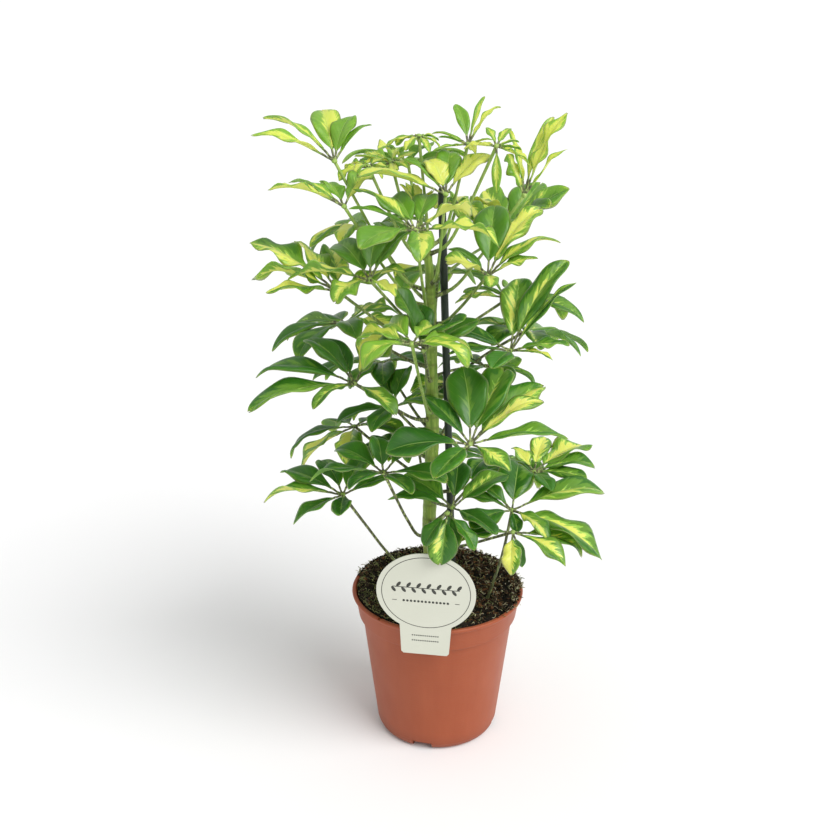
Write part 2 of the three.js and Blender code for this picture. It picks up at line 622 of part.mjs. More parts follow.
// A stalk leaves the stem level, bends up and runs nearly straight to its hub
function petioleSolid(frond, shift, fat) {
  const hub = new THREE.Vector3(...frond.hub);
  const joint = frond.base ? null : stemAt(frond.from + shift.slide);
  const base = joint ? joint.middle : new THREE.Vector3(...frond.base);
  const outward = hub.clone().sub(base).setZ(0).normalize();
  if (frond.leave) outward.set(Math.cos(frond.leave * RAD), Math.sin(frond.leave * RAD), 0);
  const sideways = new THREE.Vector3(-outward.y, outward.x, 0);
  if (joint) {
    outward.addScaledVector(sideways, THREE.MathUtils.clamp(shift.swing * 0.06, -0.7, 0.7)).normalize();
    const foot = PETIOLE_RADIUS * FOOT_SWELL;
    base.addScaledVector(outward, joint.radius + GAP + fat + foot * Math.abs(joint.heading.dot(outward)));
  }
  const reach = hub.distanceTo(base);
  const first = base.clone().addScaledVector(joint ? outward : UP, reach * 0.16);
  const second = base.clone().lerp(hub, 0.55).addScaledVector(outward, reach * 0.05);
  second.addScaledVector(sideways, shift.swing);
  const curve = new THREE.CubicBezierCurve3(base, first, second, hub);
  const r = PETIOLE_RADIUS;
  const stations = [[0, r * FOOT_SWELL], [0.1, r * 1.25], [0.4, r], [0.7, r * 0.95], [1, r]];
  return solid(bentBar(curve, stations.map(([u, radius]) => [u, radius + fat]), PETIOLE_SIDES));
}

// The leaflets of one frond, in their natural places round its hub
function radialOn(axis, azimuth) {
  const east = new THREE.Vector3(1, 0, 0).projectOnPlane(axis).normalize();
  return east.applyAxisAngle(axis, azimuth * RAD);
}

// Where a frond names no leaflets of its own, they are spread evenly over its ring or its span
function leafRows(frond) {
  if (frond.leaves) return frond.leaves;
  const [x, y] = frond.hub;
  const outAzimuth = Math.atan2(y, x) / RAD;
  const [first, last] = frond.span ?? [frond.turn ?? spread(20), 360 - 360 / frond.count];
  const end = frond.span ? last : first + last;
  return Array.from({ length: frond.count }, (_, i) => {
    const azimuth = first + ((end - first) * i) / (frond.count - 1) + spread(5);
    const forward = frond.span ? 1 : Math.cos((azimuth - outAzimuth) * RAD);
    const length = frond.length * (0.87 + 0.13 * forward) * (1 + spread(0.07));
    return [azimuth, frond.lift + spread(7), length, frond.wide ?? 1];
  });
}

function leafletsOf(frond) {
  const [leanAzimuth, leanAngle] = frond.lean;
  const tipping = new THREE.Vector3(-Math.sin(leanAzimuth * RAD), Math.cos(leanAzimuth * RAD), 0);
  const axis = UP.clone().applyAxisAngle(tipping, leanAngle * RAD);
  const hub = new THREE.Vector3(...frond.hub);
  return leafRows(frond).map(([azimuth, lift, length, wide]) => ({
    owner: frond.name,
    hub,
    axis,
    azimuth,
    lift,
    length,
    wide: wide * (1 + spread(0.07)),
    arch: frond.arch * (1 + spread(0.16)),
    fold: 0.26 + spread(0.12),
    wave: spread(1.1) * (length / 55),
    roll: (frond.roll ?? 0) * (1 + spread(0.3)) + spread(12),
  }));
}

function placed(leaf, shift) {
  const azimuth = leaf.azimuth + shift.turn;
  const lift = (leaf.lift + shift.lift) * RAD;
  const out = radialOn(leaf.axis, azimuth);
  out.multiplyScalar(Math.cos(lift)).addScaledVector(leaf.axis, Math.sin(lift));
  return { ...leaf, azimuth, out, length: leaf.length * shift.share };
}

// Pot, soil and what stands in it
const stemGap = solid(stemBar(GAP));
const stake = solid(stakeBar(0));
const stem = solid(stemBar(0));
const pot = potSolid();
const label = cardSolid().add(tongueSolid(0, 0));

const fronds = FRONDS.map((frond, i) => ({
  ...frond,
  name: i ? `frond_${String(i).padStart(2, '0')}` : 'young_shoot',
}));
const obstacles = [stem, stake, pot, label].map((body) => obstacle('holder', body));

for (const frond of fronds) {
  const shift = STALK_SHIFTS.find((candidate) => {
    const test = obstacle(frond.name, petioleSolid(frond, candidate, CLEARANCE));
    return !obstacles.some((other) => crosses(test, other));
  }) ?? STALK_SHIFTS[0];
  frond.petiole = petioleSolid(frond, shift, 0);
  obstacles.push(obstacle(frond.name, frond.petiole), hubTest(frond));
}

const soil = soilSolid([
  stemGap,
  solid(stakeBar(GAP)),
  tongueSolid(GAP, 20),
  petioleSolid(fronds.find((frond) => frond.base === YOUNG_BASE), STALK_SHIFTS[0], GAP),
]);
obstacles.push(obstacle('holder', soil));

// Leaflets, those at the front first, each bent clear of all that stands before it
const fromFront = [...fronds].sort((a, b) => a.hub[1] - b.hub[1]);
for (const frond of fromFront) {
  frond.leaflets = [];
  const ownBlades = [];
  for (const leaf of leafletsOf(frond)) {
    const shift = LEAF_SHIFTS.find((candidate) => {
      const tried = placed(leaf, candidate);
      const blade = leafletTest(tried, CLEARANCE, false);
      if (ownBlades.some((other) => crosses(blade, other))) return false;
      const whole = leafletTest(tried, CLEARANCE, true);
      return !obstacles.some((other) => other.owner !== frond.name && crosses(whole, other));
    });
    if (!shift) continue;
    const chosen = placed(leaf, shift);
    frond.leaflets.push(chosen);
    ownBlades.push(leafletTest(chosen, 0, false));
    obstacles.push(leafletTest(chosen, 0, true));
  }
}

const group = new THREE.Group();

function addPiece(name, body, color, roughness) {
  const material = new THREE.MeshStandardMaterial({ color, roughness, metalness: 0 });
  const mesh = new THREE.Mesh(geometryOf(body), material);
  mesh.name = name;
  group.add(mesh);
}

addPiece('pot', pot, 0xb5694e, 0.55);
addPiece('soil', soil, 0x3a2c20, 0.95);
addPiece('stake', stake, 0x1f2a24, 0.5);
addPiece('stem', stem, 0x7fa050, 0.6);
addPiece('label', label, 0xe3e4d6, 0.6);

const OLD_LEAF = new THREE.Color(0x4f8f36);
const YOUNG_LEAF = new THREE.Color(0xb8cc50);
for (const frond of fronds) {
  const body = frond.petiole.add(crownSolid(frond.leaflets));
  addPiece(frond.name, body, OLD_LEAF.clone().lerp(YOUNG_LEAF, frond.young), 0.4);
}

export default group;
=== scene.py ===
# %% [markdown]
# # A potted umbrella plant
#
# This lesson dresses the plain solids of a young umbrella plant: rings of gold and green leaflets on
# long stalks, a green stem beside a dark stake, peat in a terracotta-coloured plastic pot, and a card
# label over the rim. The solids already say where every leaflet lies. Each one is read back from its
# node as a coarse cage, and a fine, folded and rippled leaf is laid over it. Lengths are noted in
# millimetres and become metres where a mesh is made.

# %% Load the frame
from math import asin, atan2, cos, degrees, exp, hypot, pi, radians, sin, sqrt
from random import Random

import bmesh
import bpy
import numpy as np
from mathutils import Matrix, Vector, noise


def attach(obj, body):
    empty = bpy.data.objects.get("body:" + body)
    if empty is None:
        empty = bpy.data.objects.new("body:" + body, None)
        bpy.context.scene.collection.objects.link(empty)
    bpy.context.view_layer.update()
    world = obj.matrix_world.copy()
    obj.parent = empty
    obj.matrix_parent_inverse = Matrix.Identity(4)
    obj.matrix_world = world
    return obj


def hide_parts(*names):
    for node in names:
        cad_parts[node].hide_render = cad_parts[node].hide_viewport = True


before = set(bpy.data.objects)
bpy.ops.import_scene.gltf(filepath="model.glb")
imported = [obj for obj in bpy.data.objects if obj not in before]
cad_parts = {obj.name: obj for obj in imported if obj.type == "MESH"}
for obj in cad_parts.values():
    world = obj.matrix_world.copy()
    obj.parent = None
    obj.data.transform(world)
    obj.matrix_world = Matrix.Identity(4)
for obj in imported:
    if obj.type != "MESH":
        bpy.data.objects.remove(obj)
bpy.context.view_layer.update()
scene = bpy.context.scene
MM = 0.001

# %% [markdown]
# ## Small helpers
#
# Every finish below is a node tree, and short helpers keep the recipes readable. `wire` adds one
# shader node and fills its sockets, `maths` adds a Math node and hands back its result, and `wash`
# lays a colour thinly over another. Colours are noted as a screen shows them and turned into the
# linear values that Blender works with.

# %% Helpers for materials
def linear(red, green, blue):
    channels = [c / 255 for c in (red, green, blue)]
    return (*[c / 12.92 if c <= 0.04045 else ((c + 0.055) / 1.055) ** 2.4 for c in channels], 1.0)


def start_material(name):
    material = bpy.data.materials.new(name)
    material.use_nodes = True
    tree = material.node_tree
    return material, tree, tree.nodes["Principled BSDF"]


def fill(tree, node, inputs):
    """Fill a node's sockets, each by a link or by a plain value."""
    for key, value in inputs.items():
        if isinstance(value, bpy.types.NodeSocket):
            tree.links.new(value, node.inputs[key])
        else:
            node.inputs[key].default_value = value


def wire(tree, kind, inputs=None, **settings):
    node = tree.nodes.new("ShaderNode" + kind)
    for name, value in settings.items():
        setattr(node, name, value)
    fill(tree, node, inputs or {})
    return node


def maths(tree, operation, *terms):
    return wire(tree, "Math", dict(enumerate(terms)), operation=operation).outputs[0]


def scaled(tree, value, times, plus):
    return maths(tree, "MULTIPLY_ADD", value, times, plus)


def step_between(tree, value, low, high):
    limits = {"Value": value, "From Min": low, "From Max": high}
    return wire(tree, "MapRange", limits, interpolation_type="SMOOTHSTEP").outputs[0]


def tint(tree, share, first, second):
    sockets = {0: share, 6: first, 7: second}
    return wire(tree, "Mix", sockets, data_type="RGBA").outputs[2]


def wash(tree, colour, mask, strength, over):
    return tint(tree, maths(tree, "MULTIPLY", mask, strength), colour, over)


def grain(tree, place, scale, detail=2.0, rough=0.5):
    sockets = {"Vector": place, "Scale": scale, "Detail": detail, "Roughness": rough}
    return wire(tree, "TexNoise", sockets).outputs["Fac"]


def stretched(tree, place, scale):
    return wire(tree, "Mapping", {"Vector": place, "Scale": scale}).outputs[0]


def object_place(tree):
    return wire(tree, "TexCoord").outputs["Object"]


def raise_surface(tree, shader, height, distance, strength=1.0):
    bump = wire(tree, "Bump", {"Height": height, "Distance": distance, "Strength": strength})
    fill(tree, shader, {"Normal": bump.outputs[0]})


print("a mid grey in linear values:", round(linear(128, 128, 128)[0], 3))

# %% [markdown]
# ## Helpers for pieces
#
# A piece is a bmesh that becomes an object at the origin, rides on the one body, and may stand for a
# node of the frame. Stalks, stem, stake and root fibres are all bent round bars. A bar is a flat grid
# rolled round a path: the operator makes the faces, and only the points are moved. Its ends shrink to
# a point, so the skin closes by itself.

# %% Helpers for pieces
WELD = 0.001 * MM
ANY_SIDE = (0.31, 0.87, 0.21)


def new_mesh():
    """An empty mesh with the flat map that leaves and bars share."""
    bm = bmesh.new()
    bm.loops.layers.uv.new("leaf")
    return bm


def place_object(bm, name, materials=()):
    mesh = bpy.data.meshes.new(name)
    bm.to_mesh(mesh)
    bm.free()
    for material in materials:
        mesh.materials.append(material)
    thing = bpy.data.objects.new(name, mesh)
    scene.collection.objects.link(thing)
    return thing


def make_piece(bm, name, materials, slot, *nodes):
    for face in bm.faces:
        face.smooth = True
    piece = place_object(bm, name, materials)
    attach(piece, "root")
    if nodes:
        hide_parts(*nodes)
    return piece


def unit(rows):
    return rows / np.linalg.norm(rows, axis=-1, keepdims=True)


def along_curve(stations, values, at):
    """A smooth curve through values at their stations, read at one or more places."""
    stations, values, at = np.array(stations), np.array(values), np.atleast_1d(at)
    slopes = np.gradient(values, stations, axis=0)
    k = np.clip(np.searchsorted(stations, at, side="right") - 1, 0, len(stations) - 2)
    length = stations[k + 1] - stations[k]
    s = (at - stations[k]) / length
    if values.ndim > 1:
        s, length = s[:, None], length[:, None]
    start = (1 + 2 * s) * (1 - s) ** 2 * values[k] + s * (1 - s) ** 2 * length * slopes[k]
    end = s * s * (3 - 2 * s) * values[k + 1] + s * s * (s - 1) * length * slopes[k + 1]
    return start + end


def faces_of(verts):
    return {face for vert in verts for face in vert.link_faces}


def bend_bar(bm, path, radii, sides, material_index=0):
    """A closed round bar along a path of points, with a radius at each point."""
    path = np.array(path)
    radii = np.concatenate([[0], radii, [0]])
    path = np.concatenate([path[:1], path, path[-1:]])
    headings = unit(np.gradient(path[1:-1], axis=0))
    headings = np.concatenate([headings[:1], headings, headings[-1:]])
    across = [unit(np.cross(headings[0], ANY_SIDE))]
    for heading in headings[1:]:
        across.append(unit(across[-1] - heading * np.dot(across[-1], heading)))
    last = len(path) - 1
    grid = bmesh.ops.create_grid(bm, x_segments=sides, y_segments=last, size=0.5, calc_uvs=True)
    for vert in grid["verts"]:
        k = round((vert.co.y + 0.5) * last)
        angle = 2 * pi * (vert.co.x + 0.5)
        other = np.cross(headings[k], across[k])
        offset = across[k] * cos(angle) + other * sin(angle)
        vert.co = Vector(path[k] + offset * radii[k])
    for face in faces_of(grid["verts"]):
        face.material_index = material_index
    bmesh.ops.remove_doubles(bm, verts=grid["verts"], dist=WELD)


print("points of a bar merge within", WELD / MM, "mm")

# %% [markdown]
# ## Reading the solids back
#
# A node's mesh is loose triangles, so a copy is merged first. In that copy a bar shows as rings of
# equal size around an end point, and a leaflet as four rings of four points behind its tip. Walking
# from the end point, layer by layer, gives the rings in their order, and no table of points is needed.

# %% Find bars in a node
NODE_WELD = 0.004 * MM
STEM_SIDES, STEM_RINGS = 8, 10
STAKE_SIDES, STAKE_RINGS = 10, 3


def merged_copy(name):
    bm = bmesh.new()
    bm.from_mesh(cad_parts[name].data)
    bmesh.ops.remove_doubles(bm, verts=bm.verts, dist=NODE_WELD)
    return bm


def rings_behind(end, size, most=99):
    """The rings of points behind an end point, as long as each holds the same number of points."""
    seen, layer, rings = {end}, {end}, []
    while len(rings) < most:
        layer = {edge.other_vert(vert) for vert in layer for edge in vert.link_edges} - seen
        if len(layer) != size:
            break
        rings.append(list(layer))
        seen |= layer
    return rings


def read_bar(bm, sides, least):
    """Middle points and radii of a bar's rings, from its lower end."""
    ends = [v for v in bm.verts if len(v.link_edges) == sides and len(rings_behind(v, sides, least)) == least]
    end = min(ends, key=lambda v: v.co.z)
    rings = rings_behind(end, sides)
    spots = [np.array([v.co for v in ring]) for ring in rings]
    middles = [spot.mean(axis=0) for spot in spots]
    radii = [np.linalg.norm(spot - middle, axis=1).mean() for spot, middle in zip(spots, middles)]
    return np.array(middles), np.array(radii)


def read_rod(name, sides, least):
    bm = merged_copy(name)
    middles, radii = read_bar(bm, sides, least)
    bm.free()
    return middles, radii


stem_middles, stem_radii = read_rod("stem", STEM_SIDES, STEM_RINGS)
stake_middles, stake_radii = read_rod("stake", STAKE_SIDES, STAKE_RINGS)
print("stem rings:", len(stem_middles), "stem tip in mm:", round(stem_middles[-1][2] / MM))

# %% Find leaflets in a node
CAGE_SIDES, CAGE_RINGS = 4, 4
STALK_NODE_SIDES, STALK_RINGS = 5, 4
OVER_THE_FROND = np.array([0, 0, 30 * MM])


def cage_rings(tip):
    return rings_behind(tip, CAGE_SIDES, CAGE_RINGS)


def opposite_pairs(ring):
    first = ring[0]
    beside = {edge.other_vert(first) for edge in first.link_edges} & set(ring)
    facing = next(vert for vert in ring[1:] if vert not in beside)
    pair_two = [vert for vert in ring if vert not in (first, facing)]
    return [np.array([a.co, b.co]) for a, b in ((first, facing), pair_two)]


def read_leaflet(tip, above):
    """The leaflet behind a tip: rib, upward directions and edge directions from its base to its tip."""
    rings = [opposite_pairs(ring) for ring in reversed(cage_rings(tip))]
    middles = [np.concatenate(pairs).mean(axis=0) for pairs in rings]
    heading = unit(middles[1] - middles[0])
    spans = [[pair[1] - pair[0] for pair in pairs] for pairs in rings]
    wide_first = np.linalg.norm(spans[1][0]) > np.linalg.norm(spans[1][1])
    side = unit(spans[1][0] if wide_first else spans[1][1])
    rib, normals, left, right = [], [], [], []
    for pairs, jumps in zip(rings, spans):
        side_on = 0 if abs(np.dot(unit(jumps[0]), side)) > abs(np.dot(unit(jumps[1]), side)) else 1
        edges, faces = pairs[side_on], pairs[1 - side_on]
        up = unit(jumps[1 - side_on])
        wish = normals[-1] if normals else above - middles[0]
        up = up if np.dot(up, wish) > 0 else -up
        if not normals:
            side = unit(np.cross(heading, up))
        edges = edges if np.dot(edges[1] - edges[0], side) > 0 else edges[::-1]
        side = unit(edges[1] - edges[0])
        middle = faces.mean(axis=0)
        rib.append(middle)
        normals.append(up)
        left.append(edges[0] - middle)
        right.append(edges[1] - middle)
    rib.append(np.array(tip.co))
    return {"rib": rib, "normals": normals, "left": left, "right": right, "heading": heading}


def meeting_point(leaflets):
    """The point nearest to all the leaflet stalks' lines: the hub of the frond."""
    total, pull = np.zeros((3, 3)), np.zeros(3)
    for leaf in leaflets:
        flat = np.eye(3) - np.outer(leaf["heading"], leaf["heading"])
        total += flat
        pull += flat @ leaf["rib"][0]
    return np.linalg.solve(total, pull)


def read_frond(name):
    bm = merged_copy(name)
    tips = [v for v in bm.verts if len(v.link_edges) == CAGE_SIDES and len(cage_rings(v)) == CAGE_RINGS]
    bases = [np.mean([v.co for v in cage_rings(tip)[-1]], axis=0) for tip in tips]
    above = np.mean(bases, axis=0) + OVER_THE_FROND
    leaflets = [read_leaflet(tip, above) for tip in tips]
    hub = meeting_point(leaflets)
    for leaf in leaflets:
        out = leaf["rib"][-1] - hub
        leaf["azimuth"] = degrees(atan2(out[1], out[0])) % 360
    leaflets.sort(key=lambda leaf: leaf["azimuth"])
    middles, radii = read_bar(bm, STALK_NODE_SIDES, STALK_RINGS)
    bm.free()
    stalk, radii = middles[:STALK_RINGS], radii[:STALK_RINGS]
    return {"name": name, "hub": hub, "leaflets": leaflets, "stalk": stalk, "radii": radii}


frond_names = sorted(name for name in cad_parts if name.startswith("frond_")) + ["young_shoot"]
fronds = [read_frond(name) for name in frond_names]
print("fronds:", len(fronds), "leaflets:", sum(len(frond["leaflets"]) for frond in fronds))

# %% [markdown]
# ## The gold pattern
#
# The upper face of a gold umbrella leaflet is green with yellow patches. The patches start at the rib
# and run out along the side veins, so their edges are jagged like torn paper, and a paler green lies
# between yellow and dark green. A noise that is stretched along the veins gives those edges and stays
# sharp in a close view. Each leaflet carries its own amount of gold, its age, a seed and a sideways
# shift as attributes of its points.

# %% Gold pattern
TRAITS = ("gold", "youth", "seed", "skew")
VEIN_RISE = 0.3
# How fast a torn noise changes along the veins and across them, and its shift from leaf to leaf.
BLOTCH = (2.6, 0.5, 17.0)
FEATHER = (14.0, 1.3, 31.0)
STREAK = (9.0, 1.0, 43.0)


def leaf_places(tree):
    """Where a point lies on its leaflet, and the traits that the leaflet carries."""
    at = {word: wire(tree, "Attribute", attribute_name=word).outputs["Fac"] for word in TRAITS}
    uv = wire(tree, "SeparateXYZ", {0: wire(tree, "UVMap", uv_map="leaf").outputs[0]})
    at["along"] = uv.outputs[1]
    at["across"] = scaled(tree, uv.outputs[0], 2.0, -1.0)
    at["off_rib"] = maths(tree, "ABSOLUTE", at["across"])
    at["half"] = maths(tree, "SIGN", at["across"])
    at["vein_line"] = scaled(tree, at["off_rib"], -VEIN_RISE, at["along"])
    return at


def torn(tree, at, fine, coarse, shift):
    """A noise that is stretched along the side veins, from -0.5 to 0.5."""
    x = scaled(tree, at["vein_line"], fine, maths(tree, "MULTIPLY", at["seed"], shift))
    y = scaled(tree, at["off_rib"], coarse, maths(tree, "MULTIPLY", at["half"], 3.7))
    z = maths(tree, "MULTIPLY", at["seed"], 5.3)
    spot = wire(tree, "CombineXYZ", {0: x, 1: y, 2: z}).outputs[0]
    return maths(tree, "SUBTRACT", grain(tree, spot, 1.0, 3.0, 0.6), 0.5)


def gold_pattern(tree, at):
    """How far a point is gold, between gold and green, and lighter green that is partly painted sheen, each
    from 0 to 1.
    """
    blotch = torn(tree, at, *BLOTCH)
    reach = maths(tree, "ABSOLUTE", maths(tree, "SUBTRACT", at["across"], at["skew"]))
    from_middle = maths(tree, "SUBTRACT", at["along"], 0.45)
    ends = maths(tree, "MULTIPLY", from_middle, from_middle)
    score = maths(tree, "MULTIPLY", maths(tree, "SUBTRACT", at["gold"], reach), 2.0)
    score = scaled(tree, ends, -2.4, score)
    score = scaled(tree, blotch, 1.6, score)
    score = scaled(tree, torn(tree, at, *FEATHER), 3.0, score)
    streaks = scaled(tree, torn(tree, at, *STREAK), 1.1, score)
    is_gold = step_between(tree, score, 0.0, 0.05)
    is_between = step_between(tree, streaks, -0.3, -0.22)
    # Lighter green near the rib: partly the leaf's own paler zone, partly painted sheen.
    pale_and_sheen = step_between(tree, scaled(tree, blotch, 1.8, streaks), -1.5, -1.0)
    return is_gold, is_between, pale_and_sheen


print("traits of a leaflet:", ", ".join(TRAITS))

# %% [markdown]
# ## The leaf finish
#
# Over the pattern lie fine side veins, the pale rib and a thin pale margin. The blade swells a little
# between its veins, which a bump shows without more faces. The upper face is glossy. The under face
# is paler and matt, so it is a finish of its own.

# %% Leaf colours
OLD_GREEN = linear(66, 124, 33)
OLD_GREEN_DEEP = linear(34, 86, 18)
YOUNG_GREEN = linear(112, 158, 44)
# The lighter green is partly the leaf's own paler zone and partly painted sheen.
PALE_GREEN_AND_SHEEN = linear(138, 178, 66)
BETWEEN_GREEN = linear(154, 194, 84)
GOLD = linear(230, 234, 128)
GOLD_WARM = linear(214, 217, 92)
YOUNG_GOLD = linear(190, 206, 82)
RIB_GREEN = linear(172, 202, 108)
UNDER_GREEN = linear(132, 172, 92)
UNDER_GOLD = linear(228, 234, 140)


def leaf_colour(tree, at, under, fine, cloud):
    is_gold, is_between, pale_and_sheen = gold_pattern(tree, at)
    tone = maths(tree, "FRACT", maths(tree, "MULTIPLY", at["seed"], 7.31))
    depth = scaled(tree, tone, 0.8, scaled(tree, cloud, 0.8, -0.35))
    green = tint(tree, depth, OLD_GREEN_DEEP, OLD_GREEN)
    green = tint(tree, at["youth"], green, YOUNG_GREEN)
    green = wash(tree, green, pale_and_sheen, 0.44, PALE_GREEN_AND_SHEEN)
    between = tint(tree, at["youth"], BETWEEN_GREEN, tint(tree, cloud, YOUNG_GREEN, YOUNG_GOLD))
    yellow = wash(tree, tint(tree, fine, GOLD_WARM, GOLD), at["youth"], 0.7, YOUNG_GOLD)
    colour = tint(tree, is_gold, tint(tree, is_between, green, between), yellow)
    if under:
        colour = tint(tree, 0.5, colour, tint(tree, is_gold, UNDER_GREEN, UNDER_GOLD))
    return colour


print("a gold patch is", round(GOLD[0] / OLD_GREEN[0]), "times as red as a green one")

# %% Leaf materials
VEINS = 9.0
VEIN_DEPTH = 0.35 * MM
LIGHT_THROUGH = 1.6 * MM


def leaf_material(name, under):
    material, tree, shader = start_material(name)
    at = leaf_places(tree)
    fine = grain(tree, object_place(tree), 900.0, 3.0)
    cloud = grain(tree, object_place(tree), 60.0, 2.0)
    vein_wave = maths(tree, "PINGPONG", scaled(tree, at["vein_line"], VEINS, at["seed"]), 0.5)
    vein = step_between(tree, vein_wave, 0.07, 0.0)
    rib_width = scaled(tree, at["along"], -0.04, 0.06)
    rib = step_between(tree, maths(tree, "DIVIDE", at["off_rib"], rib_width), 1.0, 0.5)
    margin = step_between(tree, at["off_rib"], 0.93, 0.99)
    colour = leaf_colour(tree, at, under, fine, cloud)
    for line, strength in ((vein, 0.08 if under else 0.06), (rib, 0.6), (margin, 0.45)):
        colour = wash(tree, colour, line, strength, RIB_GREEN)

    swell = step_between(tree, vein_wave, 0.0, 0.5)
    height = scaled(tree, swell, 0.25, maths(tree, "MULTIPLY", fine, 0.12))
    height = scaled(tree, rib, 1.2 if under else -0.8, height)
    height = scaled(tree, cloud, 0.5, height)
    raise_surface(tree, shader, height, VEIN_DEPTH, 0.6)
    fill(tree, shader, {
        "Base Color": colour, "Roughness": scaled(tree, cloud, 0.16, 0.5 if under else 0.26),
        "Specular IOR Level": 0.3 if under else 0.42, "Subsurface Weight": 0.55,
        "Subsurface Radius": (0.8, 1.0, 0.3), "Subsurface Scale": LIGHT_THROUGH,
    })
    return material


leaf_top = leaf_material("leaf upper face", False)
leaf_under = leaf_material("leaf under face", True)
print("leaf nodes:", len(leaf_top.node_tree.nodes))

# %% [markdown]
# ## Stalks and stem
#
# Young stalks are smooth and light green, old ones olive and a little corky, so the stalk finish
# reads the same age attribute as the leaves. The stem is the same tissue grown thick: light green,
# streaked along its length, with a brown scar at each height where a stalk leaves it.

# %% Stalk and stem materials
STALK_YOUNG = linear(146, 178, 84)
STALK_OLD = linear(88, 92, 62)
STALK_PALE = linear(184, 202, 122)
STEM_GREEN = linear(116, 150, 54)
STEM_LIGHT = linear(162, 188, 84)
STEM_BUFF = linear(138, 132, 84)
SCAR_BROWN = linear(84, 78, 44)


def stalk_material():
    material, tree, shader = start_material("green stalk")
    place = object_place(tree)
    youth = wire(tree, "Attribute", attribute_name="youth").outputs["Fac"]
    streak = grain(tree, stretched(tree, place, (1.0, 1.0, 0.12)), 700.0, 2.0)
    cork = grain(tree, place, 260.0, 3.0, 0.6)
    colour = tint(tree, step_between(tree, youth, 0.0, 0.7), STALK_OLD, STALK_YOUNG)
    colour = tint(tree, step_between(tree, streak, 0.45, 0.75), colour, STALK_PALE)
    colour = wash(tree, colour, step_between(tree, cork, 0.6, 0.75), 0.4, SCAR_BROWN)
    raise_surface(tree, shader, streak, 0.15 * MM, 0.5)
    fill(tree, shader, {
        "Base Color": colour, "Roughness": scaled(tree, streak, 0.2, 0.36),
        "Specular IOR Level": 0.35, "Subsurface Weight": 0.08, "Subsurface Scale": 1.0 * MM,
    })
    return material


def stem_material():
    material, tree, shader = start_material("green stem bark")
    place = object_place(tree)
    scar = wire(tree, "Attribute", attribute_name="scar").outputs["Fac"]
    streak = grain(tree, stretched(tree, place, (1.0, 1.0, 0.09)), 520.0, 4.0, 0.6)
    pores = wire(tree, "TexVoronoi", {"Vector": stretched(tree, place, (1, 1, 0.55)), "Scale": 420.0})
    pore = step_between(tree, pores.outputs["Distance"], 0.22, 0.12)
    low_down = wire(tree, "SeparateXYZ", {0: place}).outputs[2]
    age = step_between(tree, low_down, 0.19, 0.09)
    colour = tint(tree, step_between(tree, streak, 0.35, 0.65), STEM_GREEN, STEM_LIGHT)
    colour = wash(tree, colour, age, 0.6, STEM_BUFF)
    colour = wash(tree, colour, pore, 0.4, STALK_PALE)
    scarred = maths(tree, "MULTIPLY", scar, step_between(tree, streak, 0.3, 0.6))
    colour = tint(tree, scarred, colour, SCAR_BROWN)
    raise_surface(tree, shader, maths(tree, "ADD", streak, pore), 0.3 * MM, 0.6)
    gloss = scaled(tree, streak, 0.25, 0.38)
    fill(tree, shader, {"Base Color": colour, "Roughness": gloss, "Specular IOR Level": 0.35})
    return material


green_stalk = stalk_material()
stem_bark = stem_material()
print("stem nodes:", len(stem_bark.node_tree.nodes))

# %% [markdown]
# ## Fine leaflets
#
# A leaflet is a folded, gently rippled sheet that is thickest at the rib and runs out to nothing at
# its margin. Two grids with one outline make it: the upper one lies on the cage, the lower one hangs
# the leaf's thickness below, and the two are merged along the margin. The width follows the outline
# of the real leaf, a wedge at the base, widest past the middle, blunt at the tip.

# %% Shape of one leaflet
STATIONS = [0.0, 0.28, 0.58, 0.85, 1.0]
WIDTHS = [0.68, 1.0, 0.74]
COLUMNS = 12
ROWS = 22
CLOSER_TO_RIB = 1.15
BLADE_THICKNESS = 0.5 * MM
RIB_BULGE = 0.7 * MM
BASE_WIDTH = 0.7 * MM
TIP_WIDTH = 0.045
SKIN_WELD = 0.002 * MM


def outline(along, blunt):
    """Half the width at a place along the leaflet, as a share of its widest place."""
    swelling = np.sin(pi * np.clip(along, 0, 1) ** (1.1 + 0.28 * blunt)) ** (0.78 - 0.32 * blunt)
    return np.maximum(swelling, TIP_WIDTH * (1 + 2 * blunt) * (along > 0.5))


